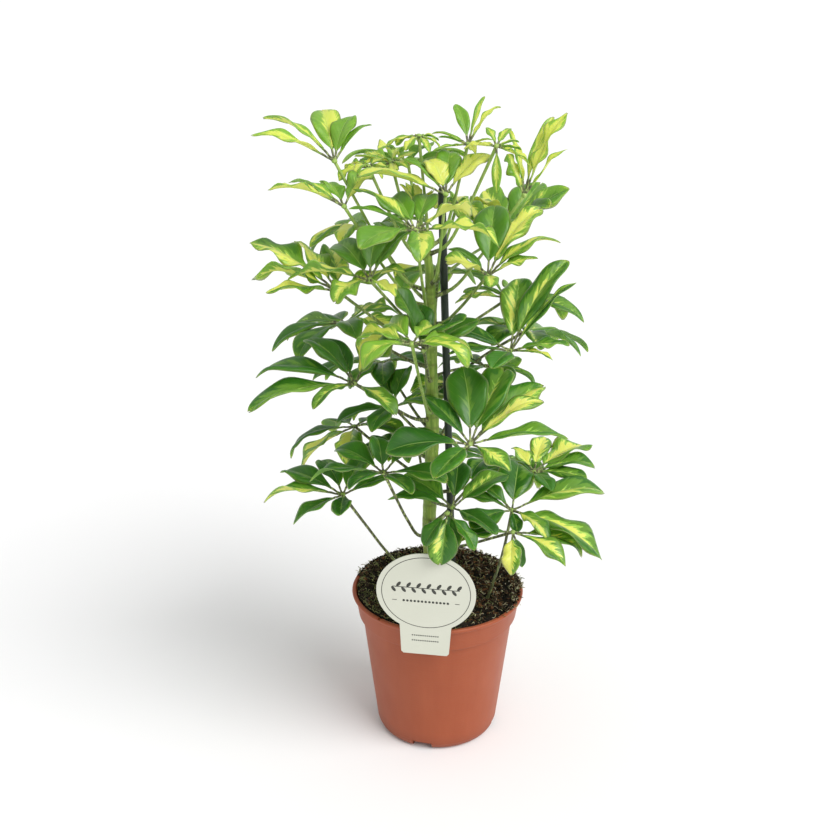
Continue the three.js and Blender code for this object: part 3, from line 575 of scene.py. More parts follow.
def leaf_surface(leaf, across, along, under):
    edge_left = [leaf["left"][k] / WIDTHS[k - 1] for k in (1, 1, 2, 3, 3)]
    edge_right = [leaf["right"][k] / WIDTHS[k - 1] for k in (1, 1, 2, 3, 3)]
    ups = [leaf["normals"][k] for k in (0, 1, 2, 3, 3)]
    rib = along_curve(STATIONS, leaf["rib"], along)
    up = unit(along_curve(STATIONS, ups, along))
    left = along_curve(STATIONS, edge_left, along)
    right = along_curve(STATIONS, edge_right, along)
    edge = np.where(across[:, None] < 0, left, right)
    off_rib = np.abs(across)
    full = np.linalg.norm(edge, axis=1)
    base_width = BASE_WIDTH * (1 - along) ** 4
    scallops = np.sin(15 * along + leaf["seed"] * 9 + np.sign(across))
    width = outline(along, leaf["blunt"]) * (1 + leaf["scallop"] * scallops)
    half = np.maximum(full * width * leaf["breadth"], base_width)
    twist = leaf["twist"] * along**1.5
    point = rib + edge * (off_rib * half * np.cos(twist) / full)[:, None]
    length = np.linalg.norm(leaf["rib"][-1] - leaf["rib"][0])
    tip_heading = unit(leaf["rib"][-1] - leaf["rib"][-2])
    near_tip = np.clip((along - 0.6) / 0.4, 0, 1)
    notch = leaf["notch"] * length * near_tip**5 * np.exp(-((off_rib / 0.45) ** 2))
    sideways = unit(right - left) * (leaf["swerve"] * length * along**2)[:, None]
    point = point + sideways - tip_heading * notch[:, None]
    lift = 0.24 * half * (off_rib - off_rib**3) - leaf["hook"] * length * near_tip**2.2
    phase = leaf["seed"] * 7 + np.where(across < 0, 0.0, 2.1)
    ripple = np.sin(2 * pi * leaf["waves"] * along + phase) * np.sin(pi * along) ** 0.5
    lift = lift + leaf["ripple"] * full * off_rib**2 * ripple
    lift = lift - leaf["rolled"] * half * off_rib**5 + across * half * np.sin(twist)
    if under:
        thin = np.sqrt(np.clip(1 - off_rib**2, 0, 1))
        thin = thin * np.minimum(1, along * 9) * np.minimum(1, (1 - along) * 9)
        bulge = RIB_BULGE * np.exp(-((off_rib / 0.13) ** 2)) * (1 - along)
        lift = lift - thin * (BLADE_THICKNESS + bulge)
    return point + up * lift[:, None]


def add_blade(bm, leaf):
    skins = []
    for under in (False, True):
        grid = bmesh.ops.create_grid(bm, x_segments=COLUMNS, y_segments=ROWS, size=0.5, calc_uvs=True)
        verts = grid["verts"]
        flat = np.array([vert.co for vert in verts])
        across = np.sign(flat[:, 0]) * np.abs(flat[:, 0] * 2) ** CLOSER_TO_RIB
        even = np.clip(flat[:, 1] + 0.5, 0, 1)
        along = 0.6 * even + 0.2 * (1 - np.cos(pi * even))
        for vert, spot in zip(verts, leaf_surface(leaf, across, along, under)):
            vert.co = Vector(spot)
        faces = list(faces_of(verts))
        if under:
            bmesh.ops.reverse_faces(bm, faces=faces)
        for face in faces:
            face.material_index = int(under)
        skins += verts
    bmesh.ops.remove_doubles(bm, verts=skins, dist=SKIN_WELD)


print("one leaflet:", COLUMNS * ROWS * 4, "triangles")

# %% [markdown]
# ## Gold and age
#
# The photograph shows which leaflets carry much gold. A frond is noted by the number of its node,
# with 0 for the young shoot, and a leaflet by the compass direction in which it points: 0 is right,
# 90 back, 180 left and 270 front. A leaflet without a note takes its frond's usual amount, and fronds
# without a note, at the back, take seeded amounts. The higher a frond sits, the younger it is, save
# for three whose age is noted.

# %% Amounts of gold
GREEN = -0.5
SAME_LEAFLET = 22
GREEN_FRONDS = (6, 8, 12, 14, 17, 18, 20, 21, 23, 24, 25, 26, 27, 28, 29, 30)
USUAL_GOLD = {
    **dict.fromkeys(GREEN_FRONDS, GREEN),
    0: 0.9, 1: 0.35, 2: 0.1, 3: 0.25, 4: 0.5, 5: 0.65, 7: 0.0, 9: 0.6, 10: 0.6, 11: -0.2, 13: -0.1,
    15: 0.3, 16: 0.05, 19: -0.1, 22: -0.3, 36: 0.1,
}
SPECIAL_GOLD = {
    2: {35: 0.8, 60: 0.3, 105: GREEN, 205: 0.2, 280: 0.8, 325: 0.4},
    3: {188: 0.9, 268: 0.35, 310: 0.8},
    6: {107: 0.35, 158: 0.4, 192: 0.5},
    7: {50: 0.4, 188: 0.8},
    8: {38: 1.0, 128: 1.1, 188: 0.75},
    9: {60: 0.5, 132: 0.4},
    11: {350: 0.5, 30: 0.7, 150: 0.2, 280: 0.3},
    12: {355: 0.5, 20: 0.4, 42: 0.6, 187: 0.95, 275: 0.4},
    13: {180: 0.5, 100: 0.4},
    14: {190: 0.5, 229: 0.4, 300: 0.8},
    15: {20: 0.5, 131: 0.6, 160: 0.35, 187: 0.45, 218: 0.55},
    18: {350: 0.15, 20: 0.2, 40: 0.1, 78: 0.25, 325: 0.6},
    20: {47: 0.4, 204: 0.15, 235: 0.3, 310: 0.3},
    21: {160: 0.5, 20: 0.3},
    23: {357: 0.1, 15: 0.8, 33: 0.45, 60: 0.1, 318: 0.45},
    24: {340: 0.1, 8: 0.0, 36: 0.5, 75: 0.65, 140: 0.7},
    26: {183: 0.35},
    27: {35: 0.0},
    28: {258: 0.2},
    29: {10: 0.3, 340: 0.2, 310: 0.45},
    30: {262: 0.9, 328: 0.3, 350: 0.1},
}
NOTED_YOUTH = {9: 0.75, 16: 1.0, 17: 0.05}
YOUNG_FROM = 270
YOUNG_OVER = 150


def turn_between(a, b):
    return abs((a - b + 180) % 360 - 180)


def gold_of(number, azimuth, draw):
    usual = USUAL_GOLD.get(number, draw.choice([GREEN, GREEN, 0.05, 0.4]))
    special = SPECIAL_GOLD.get(number, {})
    nearest = min(special, key=lambda direction: turn_between(direction, azimuth), default=None)
    if nearest is not None and turn_between(nearest, azimuth) < SAME_LEAFLET:
        return special[nearest] + draw.uniform(-0.06, 0.06)
    return usual + draw.uniform(-0.15, 0.15)


def youth_of(number, height):
    by_height = min(max((height / MM - YOUNG_FROM) / YOUNG_OVER, 0), 1) ** 1.3
    return NOTED_YOUTH.get(number, by_height)


print("fronds with their own gold:", len(USUAL_GOLD), "leaflets:", sum(map(len, SPECIAL_GOLD.values())))

# %% [markdown]
# ## Whole fronds
#
# A frond joins its parts in one mesh: the long stalk, whose foot clasps the stem, the small swollen
# hub, one short stalk for each leaflet, and the blades. In the photograph a few fronds curl more and
# a few are slimmer than the rest. Points carry the attributes that the leaf finish reads, so all
# fronds share three materials.

# %% Build the fronds
HUB_RADIUS = 1.9 * MM
STALK_SIDES = 8
STALK_SKIN = 2
FOOT_DEPTH = 2.2 * MM
SHORT_STALK_YOUTH = 0.6
CURLS = {8: 0.35, 9: 1.8, 11: 1.6, 15: 1.8, 16: 1.7}
SLIM = {2: 0.86, 9: 0.66, 12: 0.88, 18: 0.86}


def add_hub(bm, frond):
    axis = unit(np.mean([leaf["normals"][0] for leaf in frond["leaflets"]], axis=0))
    turn = Vector((0, 0, 1)).rotation_difference(Vector(axis)).to_matrix().to_4x4()
    place = Matrix.Translation(Vector(frond["hub"])) @ turn @ Matrix.Diagonal((1, 1, 0.72, 1))
    ball = bmesh.ops.create_uvsphere(bm, u_segments=12, v_segments=8, radius=HUB_RADIUS, matrix=place)
    for face in faces_of(ball["verts"]):
        face.material_index = STALK_SKIN


def add_long_stalk(bm, frond):
    stalk = frond["stalk"]
    heading = unit(stalk[1] - stalk[0])
    knots = [stalk[0] - heading * FOOT_DEPTH, *stalk, frond["hub"]]
    radii = [frond["radii"][0] * 1.1, *frond["radii"], 1.1 * MM]
    stations = [-0.03, 0.0, 0.1, 0.4, 0.7, 1.0]
    at = np.linspace(stations[0], 1, 20)
    path = along_curve(stations, knots, at)
    bend_bar(bm, path, along_curve(stations, radii, at), STALK_SIDES, STALK_SKIN)


def add_short_stalk(bm, frond, leaf):
    base, heading, up = leaf["rib"][0], leaf["heading"], leaf["normals"][0]
    into_blade = leaf["rib"][1] - leaf["rib"][0]
    start = frond["hub"] + unit(base - frond["hub"]) * 0.8 * MM
    middle = (start + base) / 2 - up * 0.35 * MM
    end = base + into_blade * 0.5 - up * 0.75 * MM
    stations = [0.0, 0.4, 0.8, 1.0]
    at = np.linspace(0, 1, 9)
    path = along_curve(stations, [start, middle, base - up * 0.25 * MM, end], at)
    radii = along_curve(stations, [0.9 * MM, 0.62 * MM, 0.7 * MM, 0.3 * MM], at)
    bend_bar(bm, path, radii, STALK_SIDES, STALK_SKIN)


def add_marked(bm, traits, add_part, *shape):
    """Add a part and give all its points the same traits."""
    first = len(bm.verts)
    add_part(bm, *shape)
    bm.verts.ensure_lookup_table()
    for word, amount in traits.items():
        layer = bm.verts.layers.float[word]
        for vert in bm.verts[first:]:
            vert[layer] = amount


def build_frond(frond):
    bm = new_mesh()
    for word in TRAITS:
        bm.verts.layers.float.new(word)
    name = frond["name"]
    number = int(name[-2:]) if name.startswith("frond_") else 0
    youth = youth_of(number, frond["hub"][2])
    curl = CURLS.get(number, 1.0)
    slim = SLIM.get(number, 1.0)
    green_part = {"youth": max(youth, SHORT_STALK_YOUTH)}
    for index, leaf in enumerate(frond["leaflets"]):
        draw = Random(f"{name} {index}")
        gold = gold_of(number, leaf["azimuth"], draw)
        crinkle = min(max(gold, 0), 1)
        leaf.update(
            seed=draw.random(),
            scallop=(draw.uniform(0.0, 0.05) + 0.05 * crinkle) * curl,
            waves=draw.uniform(1.1, 2.3) + 0.6 * crinkle,
            ripple=(draw.uniform(0.05, 0.2) + 0.2 * crinkle) * curl,
            breadth=(0.96 + 0.18 * (1 - youth) + draw.uniform(-0.07, 0.07)) * slim,
            twist=draw.uniform(-0.45, 0.45) * (1 + 0.7 * crinkle) * curl,
            blunt=draw.uniform(0.0, 1.0),
            notch=draw.choice([0.0, 0.0, 0.02, 0.05]),
            hook=draw.choice([0.02, 0.05, 0.08, 0.13]),
            rolled=draw.uniform(0.0, 0.22),
            swerve=draw.uniform(-0.1, 0.1) * curl,
        )
        traits = {
            "gold": gold + 0.17 * youth - 0.07,
            "youth": min(max(youth + draw.uniform(-0.1, 0.1), 0), 1),
            "seed": leaf["seed"],
            "skew": draw.choice([0, 0, 0.35, -0.35]) + draw.uniform(-0.1, 0.1),
        }
        add_marked(bm, traits, add_blade, leaf)
        add_marked(bm, green_part, add_short_stalk, frond, leaf)
    add_marked(bm, green_part, add_hub, frond)
    add_marked(bm, {"youth": youth}, add_long_stalk, frond)
    slot = "young_leaf" if youth > 0.5 else "leaf"
    piece = make_piece(bm, "leaves_" + name, [leaf_top, leaf_under, green_stalk], slot, name)
    return len(piece.data.polygons)


print("leaf faces:", sum(build_frond(frond) for frond in fronds))

# %% [markdown]
# ## Stem and stake
#
# The stem's rings are read from its node. Where a stalk joins, the real stem swells into a ring, so
# the radius grows a little at each such height. The stake is a plain moulded rod with a domed end
# and faint lengthwise lines.

# %% Stem and stake
JOINT_SWELL = 0.22 * MM
JOINT_REACH = 1.6 * MM
SCAR_RISE = 2.2 * MM
SCAR_REACH = 0.9 * MM
ROD_STRAIGHT = 0.985
ROD_DOME = 0.0155


def stake_material():
    material, tree, shader = start_material("dark stake plastic")
    place = object_place(tree)
    line = grain(tree, stretched(tree, place, (1.0, 1.0, 0.03)), 900.0, 3.0)
    dust = grain(tree, place, 120.0, 4.0, 0.65)
    colour = tint(tree, dust, linear(22, 34, 28), linear(48, 62, 50))
    raise_surface(tree, shader, line, 0.15 * MM, 0.5)
    fill(tree, shader, {"Base Color": colour, "Roughness": scaled(tree, dust, 0.3, 0.3)})
    return material


def build_stem():
    stations = np.linspace(0, 1, len(stem_middles))
    at = np.linspace(0, 1, 220)
    path = along_curve(stations, stem_middles, at)
    radii = along_curve(stations, stem_radii, at)
    joints = np.array([frond["stalk"][0][2] for frond in fronds])
    for height in joints:
        radii = radii + JOINT_SWELL * np.exp(-(((path[:, 2] - height) / JOINT_REACH) ** 2))
    bm = new_mesh()
    scar = bm.verts.layers.float.new("scar")
    bend_bar(bm, path, radii, 20)
    for vert in bm.verts:
        nearest = np.abs(joints + SCAR_RISE - vert.co.z).min()
        vert[scar] = 0.6 * exp(-((nearest / SCAR_REACH) ** 2))
    return make_piece(bm, "stem_green", [stem_bark], "green_stem", "stem")


def build_stake():
    foot, top = stake_middles[0], stake_middles[-1]
    at = np.concatenate([np.linspace(0, ROD_STRAIGHT, 40), [0.99, 0.995, 0.998]])
    into_dome = np.maximum(at - ROD_STRAIGHT, 0) / ROD_DOME
    narrow = np.sqrt(1 - into_dome**2) * np.minimum(1, 0.5 + at * 10)
    bm = new_mesh()
    bend_bar(bm, foot + (top - foot) * at[:, None], stake_radii[-1] * narrow, 24)
    return make_piece(bm, "stake_rod", [stake_material()], "stake_plastic", "stake")


print("stem faces:", len(build_stem().data.polygons), "stake faces:", len(build_stake().data.polygons))

# %% [markdown]
# ## The pot
#
# A nursery pot is blown or moulded from thin coloured plastic. Its section is drawn once, from the
# raised floor over the foot ring, up the wall, round the shoulder step and the rolled lip and back
# down inside, and then spun. The ring edges are bevelled, because moulded plastic has no sharp edge.
# Drain holes in the floor, notches in the foot and a nick in the lip are cut with a Boolean. The two
# kinds of notch overlap, so each kind is cut on its own.

# %% Pot sizes and section
RIM_RADIUS = 60.0
POT_HEIGHT = 107.5
FOOT_RADIUS = 41.5
WALL = 1.6
SHOULDER_HEIGHT = 89.0
BAND_TOP = 57.6
BAND_FOOT = 55.4
WALL_TOP = 52.8
POT_STEPS = 144
RING_BEVEL = 0.45
DRAIN_HOLES = 6
DRAIN_RING = 26
DRAIN_RADIUS = 4
NOTCHES_AT = (75, 165, 255, 345)
# Boxes that are cut away: their directions in degrees, their middle and their size.
FOOT_NOTCHES = (NOTCHES_AT, (44.5, 0, 0), (28, 14, 8))
SKIN_NOTCHES = (NOTCHES_AT, (45.6, 0, 0), (10, 13.6, 12.8))
LIP_NICK = ((228,), (RIM_RADIUS, 0, POT_HEIGHT + 0.5), (8, 2.4, 3))

pot_section = [
    (0.0, 3.0), (31.5, 3.0), (34.5, 0.0), (38.2, 0.0), (FOOT_RADIUS, 1.75), (43.0, 5.0),
    (WALL_TOP, SHOULDER_HEIGHT - 0.8), (BAND_FOOT, SHOULDER_HEIGHT + 0.8), (BAND_TOP, POT_HEIGHT - 3.2),
    (59.5, POT_HEIGHT - 2.7), (RIM_RADIUS, POT_HEIGHT - 1.1), (59.2, POT_HEIGHT),
    (57.4, POT_HEIGHT), (BAND_TOP - WALL, POT_HEIGHT - 3.8),
    (BAND_FOOT - WALL, SHOULDER_HEIGHT + 2.4), (WALL_TOP - WALL, SHOULDER_HEIGHT + 0.8),
    (40.6, 4.6), (0.0, 4.6),
]
print("pot section points:", len(pot_section))


# %% Pot material
def pot_material():
    material, tree, shader = start_material("terracotta plastic")
    place = object_place(tree)
    streak = grain(tree, stretched(tree, place, (1.0, 1.0, 0.16)), 90.0, 3.0, 0.55)
    cloud = grain(tree, place, 26.0, 3.0, 0.6)
    fine = grain(tree, place, 1600.0, 2.0)
    colour = tint(tree, streak, linear(156, 77, 47), linear(173, 91, 57))
    colour = wash(tree, colour, cloud, 0.5, linear(143, 68, 40))
    height = wire(tree, "SeparateXYZ", {0: place}).outputs[2]
    # Painted shade: the pot darkens towards its foot, with cloudy edges.
    foot_shade = step_between(tree, scaled(tree, cloud, 0.012, height), 0.022, 0.006)
    colour = wash(tree, colour, foot_shade, 0.4, linear(116, 62, 44))
    rings = wire(tree, "TexWave", {
        "Vector": place, "Scale": 150.0, "Distortion": 1.5, "Detail": 2.0, "Detail Scale": 1.0,
    }, bands_direction="Z").outputs["Fac"]
    marks = scaled(tree, fine, 0.16, scaled(tree, rings, 0.18, streak))
    raise_surface(tree, shader, marks, 0.25 * MM, 0.5)
    fill(tree, shader, {
        "Base Color": colour, "Roughness": scaled(tree, cloud, 0.2, 0.36),
        "Specular IOR Level": 0.3, "Subsurface Weight": 0.05, "Subsurface Scale": 1.5 * MM,
    })
    return material


pot_plastic = pot_material()
print("pot nodes:", len(pot_plastic.node_tree.nodes))


# %% Build the pot
def cut_with(target, cutter):
    modifier = target.modifiers.new("cut", "BOOLEAN")
    modifier.operation = "DIFFERENCE"
    modifier.solver = "EXACT"
    modifier.object = cutter
    view = bpy.context.evaluated_depsgraph_get()
    result = bpy.data.meshes.new_from_object(target.evaluated_get(view))
    target.modifiers.clear()
    target.data = result
    bpy.data.objects.remove(cutter)


def is_ring_edge(edge):
    """Whether an edge runs round the pot and the section bends there."""
    a, b = edge.verts[0].co, edge.verts[1].co
    level = abs(a.z - b.z) < WELD and abs(a.xy.length - b.xy.length) < WELD
    return level and edge.calc_face_angle(0) > 0.15


def spun_pot():
    bm = bmesh.new()
    verts = [bm.verts.new((r * MM, 0, z * MM)) for r, z in pot_section]
    edges = [bm.edges.new(pair) for pair in zip(verts, verts[1:])]
    bmesh.ops.spin(
        bm, geom=verts + edges, axis=(0, 0, 1), cent=(0, 0, 0),
        angle=2 * pi, steps=POT_STEPS, use_merge=True,
    )
    bmesh.ops.remove_doubles(bm, verts=bm.verts, dist=0.01 * MM)
    bmesh.ops.recalc_face_normals(bm, faces=bm.faces)
    rings = [edge for edge in bm.edges if is_ring_edge(edge)]
    bmesh.ops.bevel(
        bm, geom=rings, offset=RING_BEVEL * MM, offset_type="OFFSET", affect="EDGES",
        segments=3, profile=0.5, material=-1, clamp_overlap=True,
    )
    return bm


def box_cutters(azimuths, middle, size):
    bm = bmesh.new()
    place = Matrix.Translation(Vector(middle) * MM) @ Matrix.Diagonal((*(Vector(size) * MM), 1))
    for azimuth in azimuths:
        turn = Matrix.Rotation(radians(azimuth), 4, "Z")
        bmesh.ops.create_cube(bm, size=1.0, matrix=turn @ place)
    return place_object(bm, "cutter")


def drain_cutters():
    bm = bmesh.new()
    radius = DRAIN_RADIUS * MM
    for index in range(DRAIN_HOLES):
        angle = 2 * pi * index / DRAIN_HOLES
        spot = Vector((DRAIN_RING * cos(angle), DRAIN_RING * sin(angle), 4)) * MM
        bmesh.ops.create_cone(
            bm, cap_ends=True, segments=28, radius1=radius, radius2=radius, depth=14 * MM,
            matrix=Matrix.Translation(spot),
        )
    return place_object(bm, "cutter")


def build_pot():
    shell = place_object(spun_pot(), "pot shell")
    cut_with(shell, drain_cutters())
    for boxes in (FOOT_NOTCHES, SKIN_NOTCHES, LIP_NICK):
        cut_with(shell, box_cutters(*boxes))
    bm = bmesh.new()
    bm.from_mesh(shell.data)
    bpy.data.objects.remove(shell)
    piece = make_piece(bm, "pot_shell", [pot_plastic], "pot_plastic", "pot")
    piece.data.set_sharp_from_angle(angle=radians(38))
    return piece


print("pot faces:", len(build_pot().data.polygons))

# %% [markdown]
# ## The soil
#
# Peat is a lumpy mass of dark crumbs, pale root fibres and moss. A grid rolled round the pot's middle
# line makes the whole plug: up the inside of the wall, then over the crumbled top. Loose crumbs and
# fibres lie on it, and some lie on the lip. There are thousands, so each has only a few faces, and
# they are made in batches, because an operator gets slower as its mesh grows.

# %% Soil materials
def soil_material(name, dark, light, pale, spots):
    material, tree, shader = start_material(name)
    place = object_place(tree)
    coarse = grain(tree, place, 140.0, 5.0, 0.7)
    fine = grain(tree, place, 900.0, 4.0, 0.7)
    colour = tint(tree, step_between(tree, coarse, 0.35, 0.65), linear(*dark), linear(*light))
    colour = tint(tree, step_between(tree, fine, 0.62 - spots, 0.72 - spots), colour, linear(*pale))
    raise_surface(tree, shader, scaled(tree, fine, 0.5, coarse), 1.2 * MM, 0.9)
    gloss = scaled(tree, fine, 0.2, 0.75)
    fill(tree, shader, {"Base Color": colour, "Roughness": gloss, "Specular IOR Level": 0.25})
    return material


peat = soil_material("dark peat", (14, 10, 8), (40, 30, 20), (84, 70, 42), 0.0)
crumb = soil_material("peat crumb", (20, 15, 11), (72, 56, 40), (150, 134, 104), 0.06)
fibre = soil_material("root fibre", (146, 132, 98), (208, 198, 164), (230, 224, 200), 0.1)
moss = soil_material("moss thread", (68, 72, 38), (138, 140, 88), (184, 184, 138), 0.1)
bark_chip = soil_material("bark chip", (58, 36, 22), (110, 74, 44), (150, 112, 70), 0.08)
print("peat nodes:", len(peat.node_tree.nodes))

# %% Soil plug
SOIL_LEVEL = 104.2
SOIL_EDGE = 56.0
DOME = ([0, 13, 25, 36, 46, 56], [2.6, 2.6, 2.3, 1.8, 1.2, 0.4])
BANK = ([0, 25, 60, 150, 200, 235, 320, 360], [2.2, 2.6, 2.9, 2.9, 2.7, 1.8, 1.5, 2.2])
SOIL_RINGS = 90
SOIL_STEPS = 200


def bank_height(x, y):
    """How much higher the soil lies against the lip; most at the back, least at the front."""
    azimuth = degrees(atan2(y, x)) % 360
    near_lip = min(1.0, max(0.0, (hypot(x, y) - 38.0) / 14.0))
    return float(np.interp(azimuth, *BANK)) * near_lip**2


def soil_height(x, y):
    """The soil's top at a place, in millimetres."""
    lumps = noise.fractal(Vector((x, y, 3.1)) * 0.11, 1.0, 2.0, 3) * 1.7
    crumbs = noise.fractal(Vector((x, y, 9.4)) * 0.55, 0.8, 2.1, 3) * 1.3
    dome = float(np.interp(hypot(x, y), *DOME))
    return SOIL_LEVEL + dome + bank_height(x, y) + lumps + crumbs


def build_soil():
    bm = bmesh.new()
    grid = bmesh.ops.create_grid(bm, x_segments=SOIL_STEPS, y_segments=SOIL_RINGS, size=0.5)
    wall = [(0.0, 5.0), (40.0, 5.0), (50.9, SHOULDER_HEIGHT + 1.1), (53.4, SHOULDER_HEIGHT + 2.8)]
    for vert in grid["verts"]:
        k = round((vert.co.y + 0.5) * SOIL_RINGS)
        angle = 2 * pi * (vert.co.x + 0.5)
        if k < len(wall):
            r, z = wall[k]
        else:
            r = SOIL_EDGE * (1 - (k - len(wall)) / (SOIL_RINGS - len(wall)))
            z = soil_height(r * cos(angle), r * sin(angle))
        vert.co = Vector((r * cos(angle), r * sin(angle), z)) * MM
    bmesh.ops.remove_doubles(bm, verts=bm.verts, dist=WELD)
    bmesh.ops.recalc_face_normals(bm, faces=bm.faces)
    return make_piece(bm, "peat_plug", [peat], "potting_soil", "soil")


print("soil faces:", len(build_soil().data.polygons))

# %% Crumbs, fibres and moss
CRUMBS = 2900
FIBRES = 2300
STRAYS = 900
BATCH = 100
SOIL_REACH = 56.1
CRUMB_SIZES = (0.4, 0.5, 0.7, 0.9, 1.3, 1.9)
FIBRE_LENGTHS = (1.2, 1.8, 2.6, 4.0, 5.5)
FIBRE_RADII = (0.16, 0.22, 0.3, 0.42)
THREAD_TAPER = (0.6, 1, 1, 1, 0.5)
THREAD_STEPS = len(THREAD_TAPER) - 1
THREAD_SIDES = 3
draw = Random(41)


def random_spot(reach):
    r = reach * sqrt(draw.random())
    angle = draw.uniform(0, 2 * pi)
    return Vector((r * cos(angle), r * sin(angle), 0))


def add_lump(bm, spot, size, kind):
    pole = Vector((draw.random(), draw.random(), draw.random() + 0.1))
    turn = Matrix.Rotation(draw.uniform(0, 6.3), 4, pole)
    shape = Matrix.Diagonal((size, size * draw.uniform(0.5, 0.9), size * draw.uniform(0.3, 0.8), 1))
    ball = bmesh.ops.create_icosphere(bm, subdivisions=1, radius=1.0, matrix=turn @ shape)
    for vert in ball["verts"]:
        vert.co = (vert.co * draw.uniform(0.7, 1.25) + spot) * MM
    for face in faces_of(ball["verts"]):
        face.material_index = kind


def add_thread(bm, points, thick, kind):
    bend_bar(bm, points, [thick * share for share in THREAD_TAPER], THREAD_SIDES, kind)


def clumped_spot(reach):
    """A place in the thicker parts of the litter, so that black gaps stay between them."""
    for _ in range(8):
        spot = random_spot(reach)
        if noise.fractal(Vector((spot.x, spot.y, 5.0)) * 0.16, 1.0, 2.0, 3) > draw.uniform(-0.3, 0.25):
            break
    return spot


def add_crumb(bm):
    size = draw.choice(CRUMB_SIZES) * draw.uniform(0.8, 1.2)
    spot = clumped_spot(SOIL_REACH - size)
    spot.z = soil_height(spot.x, spot.y) + size * 0.3
    add_lump(bm, spot, size, 1 if draw.random() < 0.22 else 0)


def add_fibre(bm):
    length = draw.choice(FIBRE_LENGTHS) * draw.uniform(0.85, 1.15)
    spot = clumped_spot(SOIL_REACH - 0.6)
    heading = draw.uniform(0, 2 * pi)
    bow = draw.uniform(-2.8, 2.8)
    rise = draw.uniform(0.1, 1.3)
    points = []
    for k in range(THREAD_STEPS + 1):
        angle = heading + bow * k / THREAD_STEPS
        spot = spot + Vector((cos(angle), sin(angle), 0)) * (length / THREAD_STEPS)
        if spot.length > SOIL_REACH:
            spot = spot.normalized() * SOIL_REACH
        height = soil_height(spot.x, spot.y) + 0.3 + rise * sin(pi * k / THREAD_STEPS)
        points.append(np.array([spot.x + 0.02 * k, spot.y, height]) * MM)
    thick = draw.choice(FIBRE_RADII) * draw.uniform(0.9, 1.2) * MM
    green_side = 0.5 - spot.x / 110
    kind = 1 if draw.random() < green_side * 1.3 else draw.choice([0, 2, 2])
    add_thread(bm, points, thick, kind)


def add_stray(bm):
    """A crumb or a fibre that lies against the lip or over it, most of them along the back."""
    if draw.random() < 0.25:
        angle = radians(draw.choice([8, 8, 8, 330]) + draw.gauss(0, 8))
    else:
        angle = radians(draw.uniform(22, 166))
    at_back = max(0.0, sin(angle)) ** 0.5
    r = 59.2 - abs(draw.gauss(0, 2.6))
    pile = (0.4 + 1.5 * at_back * draw.random()) * min(1.0, (60.5 - r) / 3)
    height = POT_HEIGHT + pile if r > 56.6 else POT_HEIGHT + pile - (56.6 - r) * 0.25
    spot = Vector((r * cos(angle), r * sin(angle), height))
    if draw.random() < 0.65:
        add_lump(bm, spot, draw.uniform(0.4, 1.3), 0)
        return
    heading = draw.uniform(0, 2 * pi)
    bow = draw.uniform(-2.5, 2.5)
    points = []
    for k in range(THREAD_STEPS + 1):
        way = heading + bow * k / THREAD_STEPS
        spot = spot + Vector((cos(way), sin(way), draw.uniform(-0.15, 0.25))) * 0.9
        points.append(np.array(spot) * MM)
    add_thread(bm, points, draw.uniform(0.18, 0.36) * MM, draw.choice([1, 1, 2]))


def scatter(name, count, add_one, materials):
    whole = new_mesh()
    for _ in range(count // BATCH):
        bm = new_mesh()
        for _ in range(BATCH):
            add_one(bm)
        mesh = bpy.data.meshes.new("batch")
        bm.to_mesh(mesh)
        bm.free()
        whole.from_mesh(mesh)
        bpy.data.meshes.remove(mesh)
    bmesh.ops.recalc_face_normals(whole, faces=whole.faces)
    return make_piece(whole, name, materials, "potting_soil")


for name, count, add_one, skins in (
    ("peat_crumbs", CRUMBS, add_crumb, [crumb, bark_chip]),
    ("peat_fibres", FIBRES, add_fibre, [fibre, moss, bark_chip]),
    ("peat_strays", STRAYS, add_stray, [crumb, fibre, moss]),
):
    print(name, "faces:", len(scatter(name, count, add_one, skins).data.polygons))

# %% [markdown]
# ## The label
#
# The card keeps its solid, whose outline is right, and takes a coated-paper finish. Its print is only
# a thin oval line, a garland of small leaves and rows of dots, laid on as very thin ink.

# %% Label
CARD_CENTRE = Vector((0.0, -61.1, 136.5)) * MM
CARD_AZIMUTH = radians(-8.0)
CARD_TURN = radians(-0.7)
# The oval's half width, half height and line.
RING = (29.2, 25.8, 0.45)
TWIG_HEIGHT = 3.4
TWIG_LEAVES = 14
LEAF_STEP = 3.3
DASHES_AT = (-20.5, 20.5)
# Rows of dots: height on the card, reach to each side, step and size.
DOT_ROW = (-6.4, 14.4, 2.4, 0.85)
SMALL_DOT_ROWS = ((-31.9, 8.4, 1.4, 0.5), (-35.7, 8.4, 1.4, 0.5))
INK = 0.05 * MM


def card_material():
    material, tree, shader = start_material("coated card")
    place = object_place(tree)
    pulp = grain(tree, place, 1400.0, 3.0, 0.6)
    cloud = grain(tree, place, 30.0, 2.0)
    colour = tint(tree, cloud, linear(206, 208, 192), linear(216, 217, 203))
    colour = wash(tree, colour, pulp, 0.12, linear(186, 184, 166))
    raise_surface(tree, shader, pulp, 0.05 * MM, 0.4)
    fill(tree, shader, {"Base Color": colour, "Roughness": scaled(tree, cloud, 0.15, 0.42)})
    return material


def ink_material():
    material, tree, shader = start_material("label ink")
    worn = grain(tree, object_place(tree), 2200.0, 3.0, 0.6)
    colour = tint(tree, worn, linear(40, 42, 38), linear(72, 74, 66))
    fill(tree, shader, {"Base Color": colour, "Roughness": scaled(tree, worn, 0.2, 0.4)})
    return material


def on_card(x, z, turn=0.0):
    """The place and turn of a flat mark on the card, given in the card's own millimetres."""
    upright = Matrix.Rotation(radians(90), 4, "X")
    card = Matrix.Translation(CARD_CENTRE) @ Matrix.Rotation(-CARD_TURN, 4, "Y")
    card = Matrix.Rotation(CARD_AZIMUTH, 4, "Z") @ card
    return card @ upright @ Matrix.Translation((x * MM, z * MM, 0)) @ Matrix.Rotation(turn, 4, "Z")


def sized(wide, high):
    return Matrix.Diagonal((wide * MM, high * MM, 1, 1))


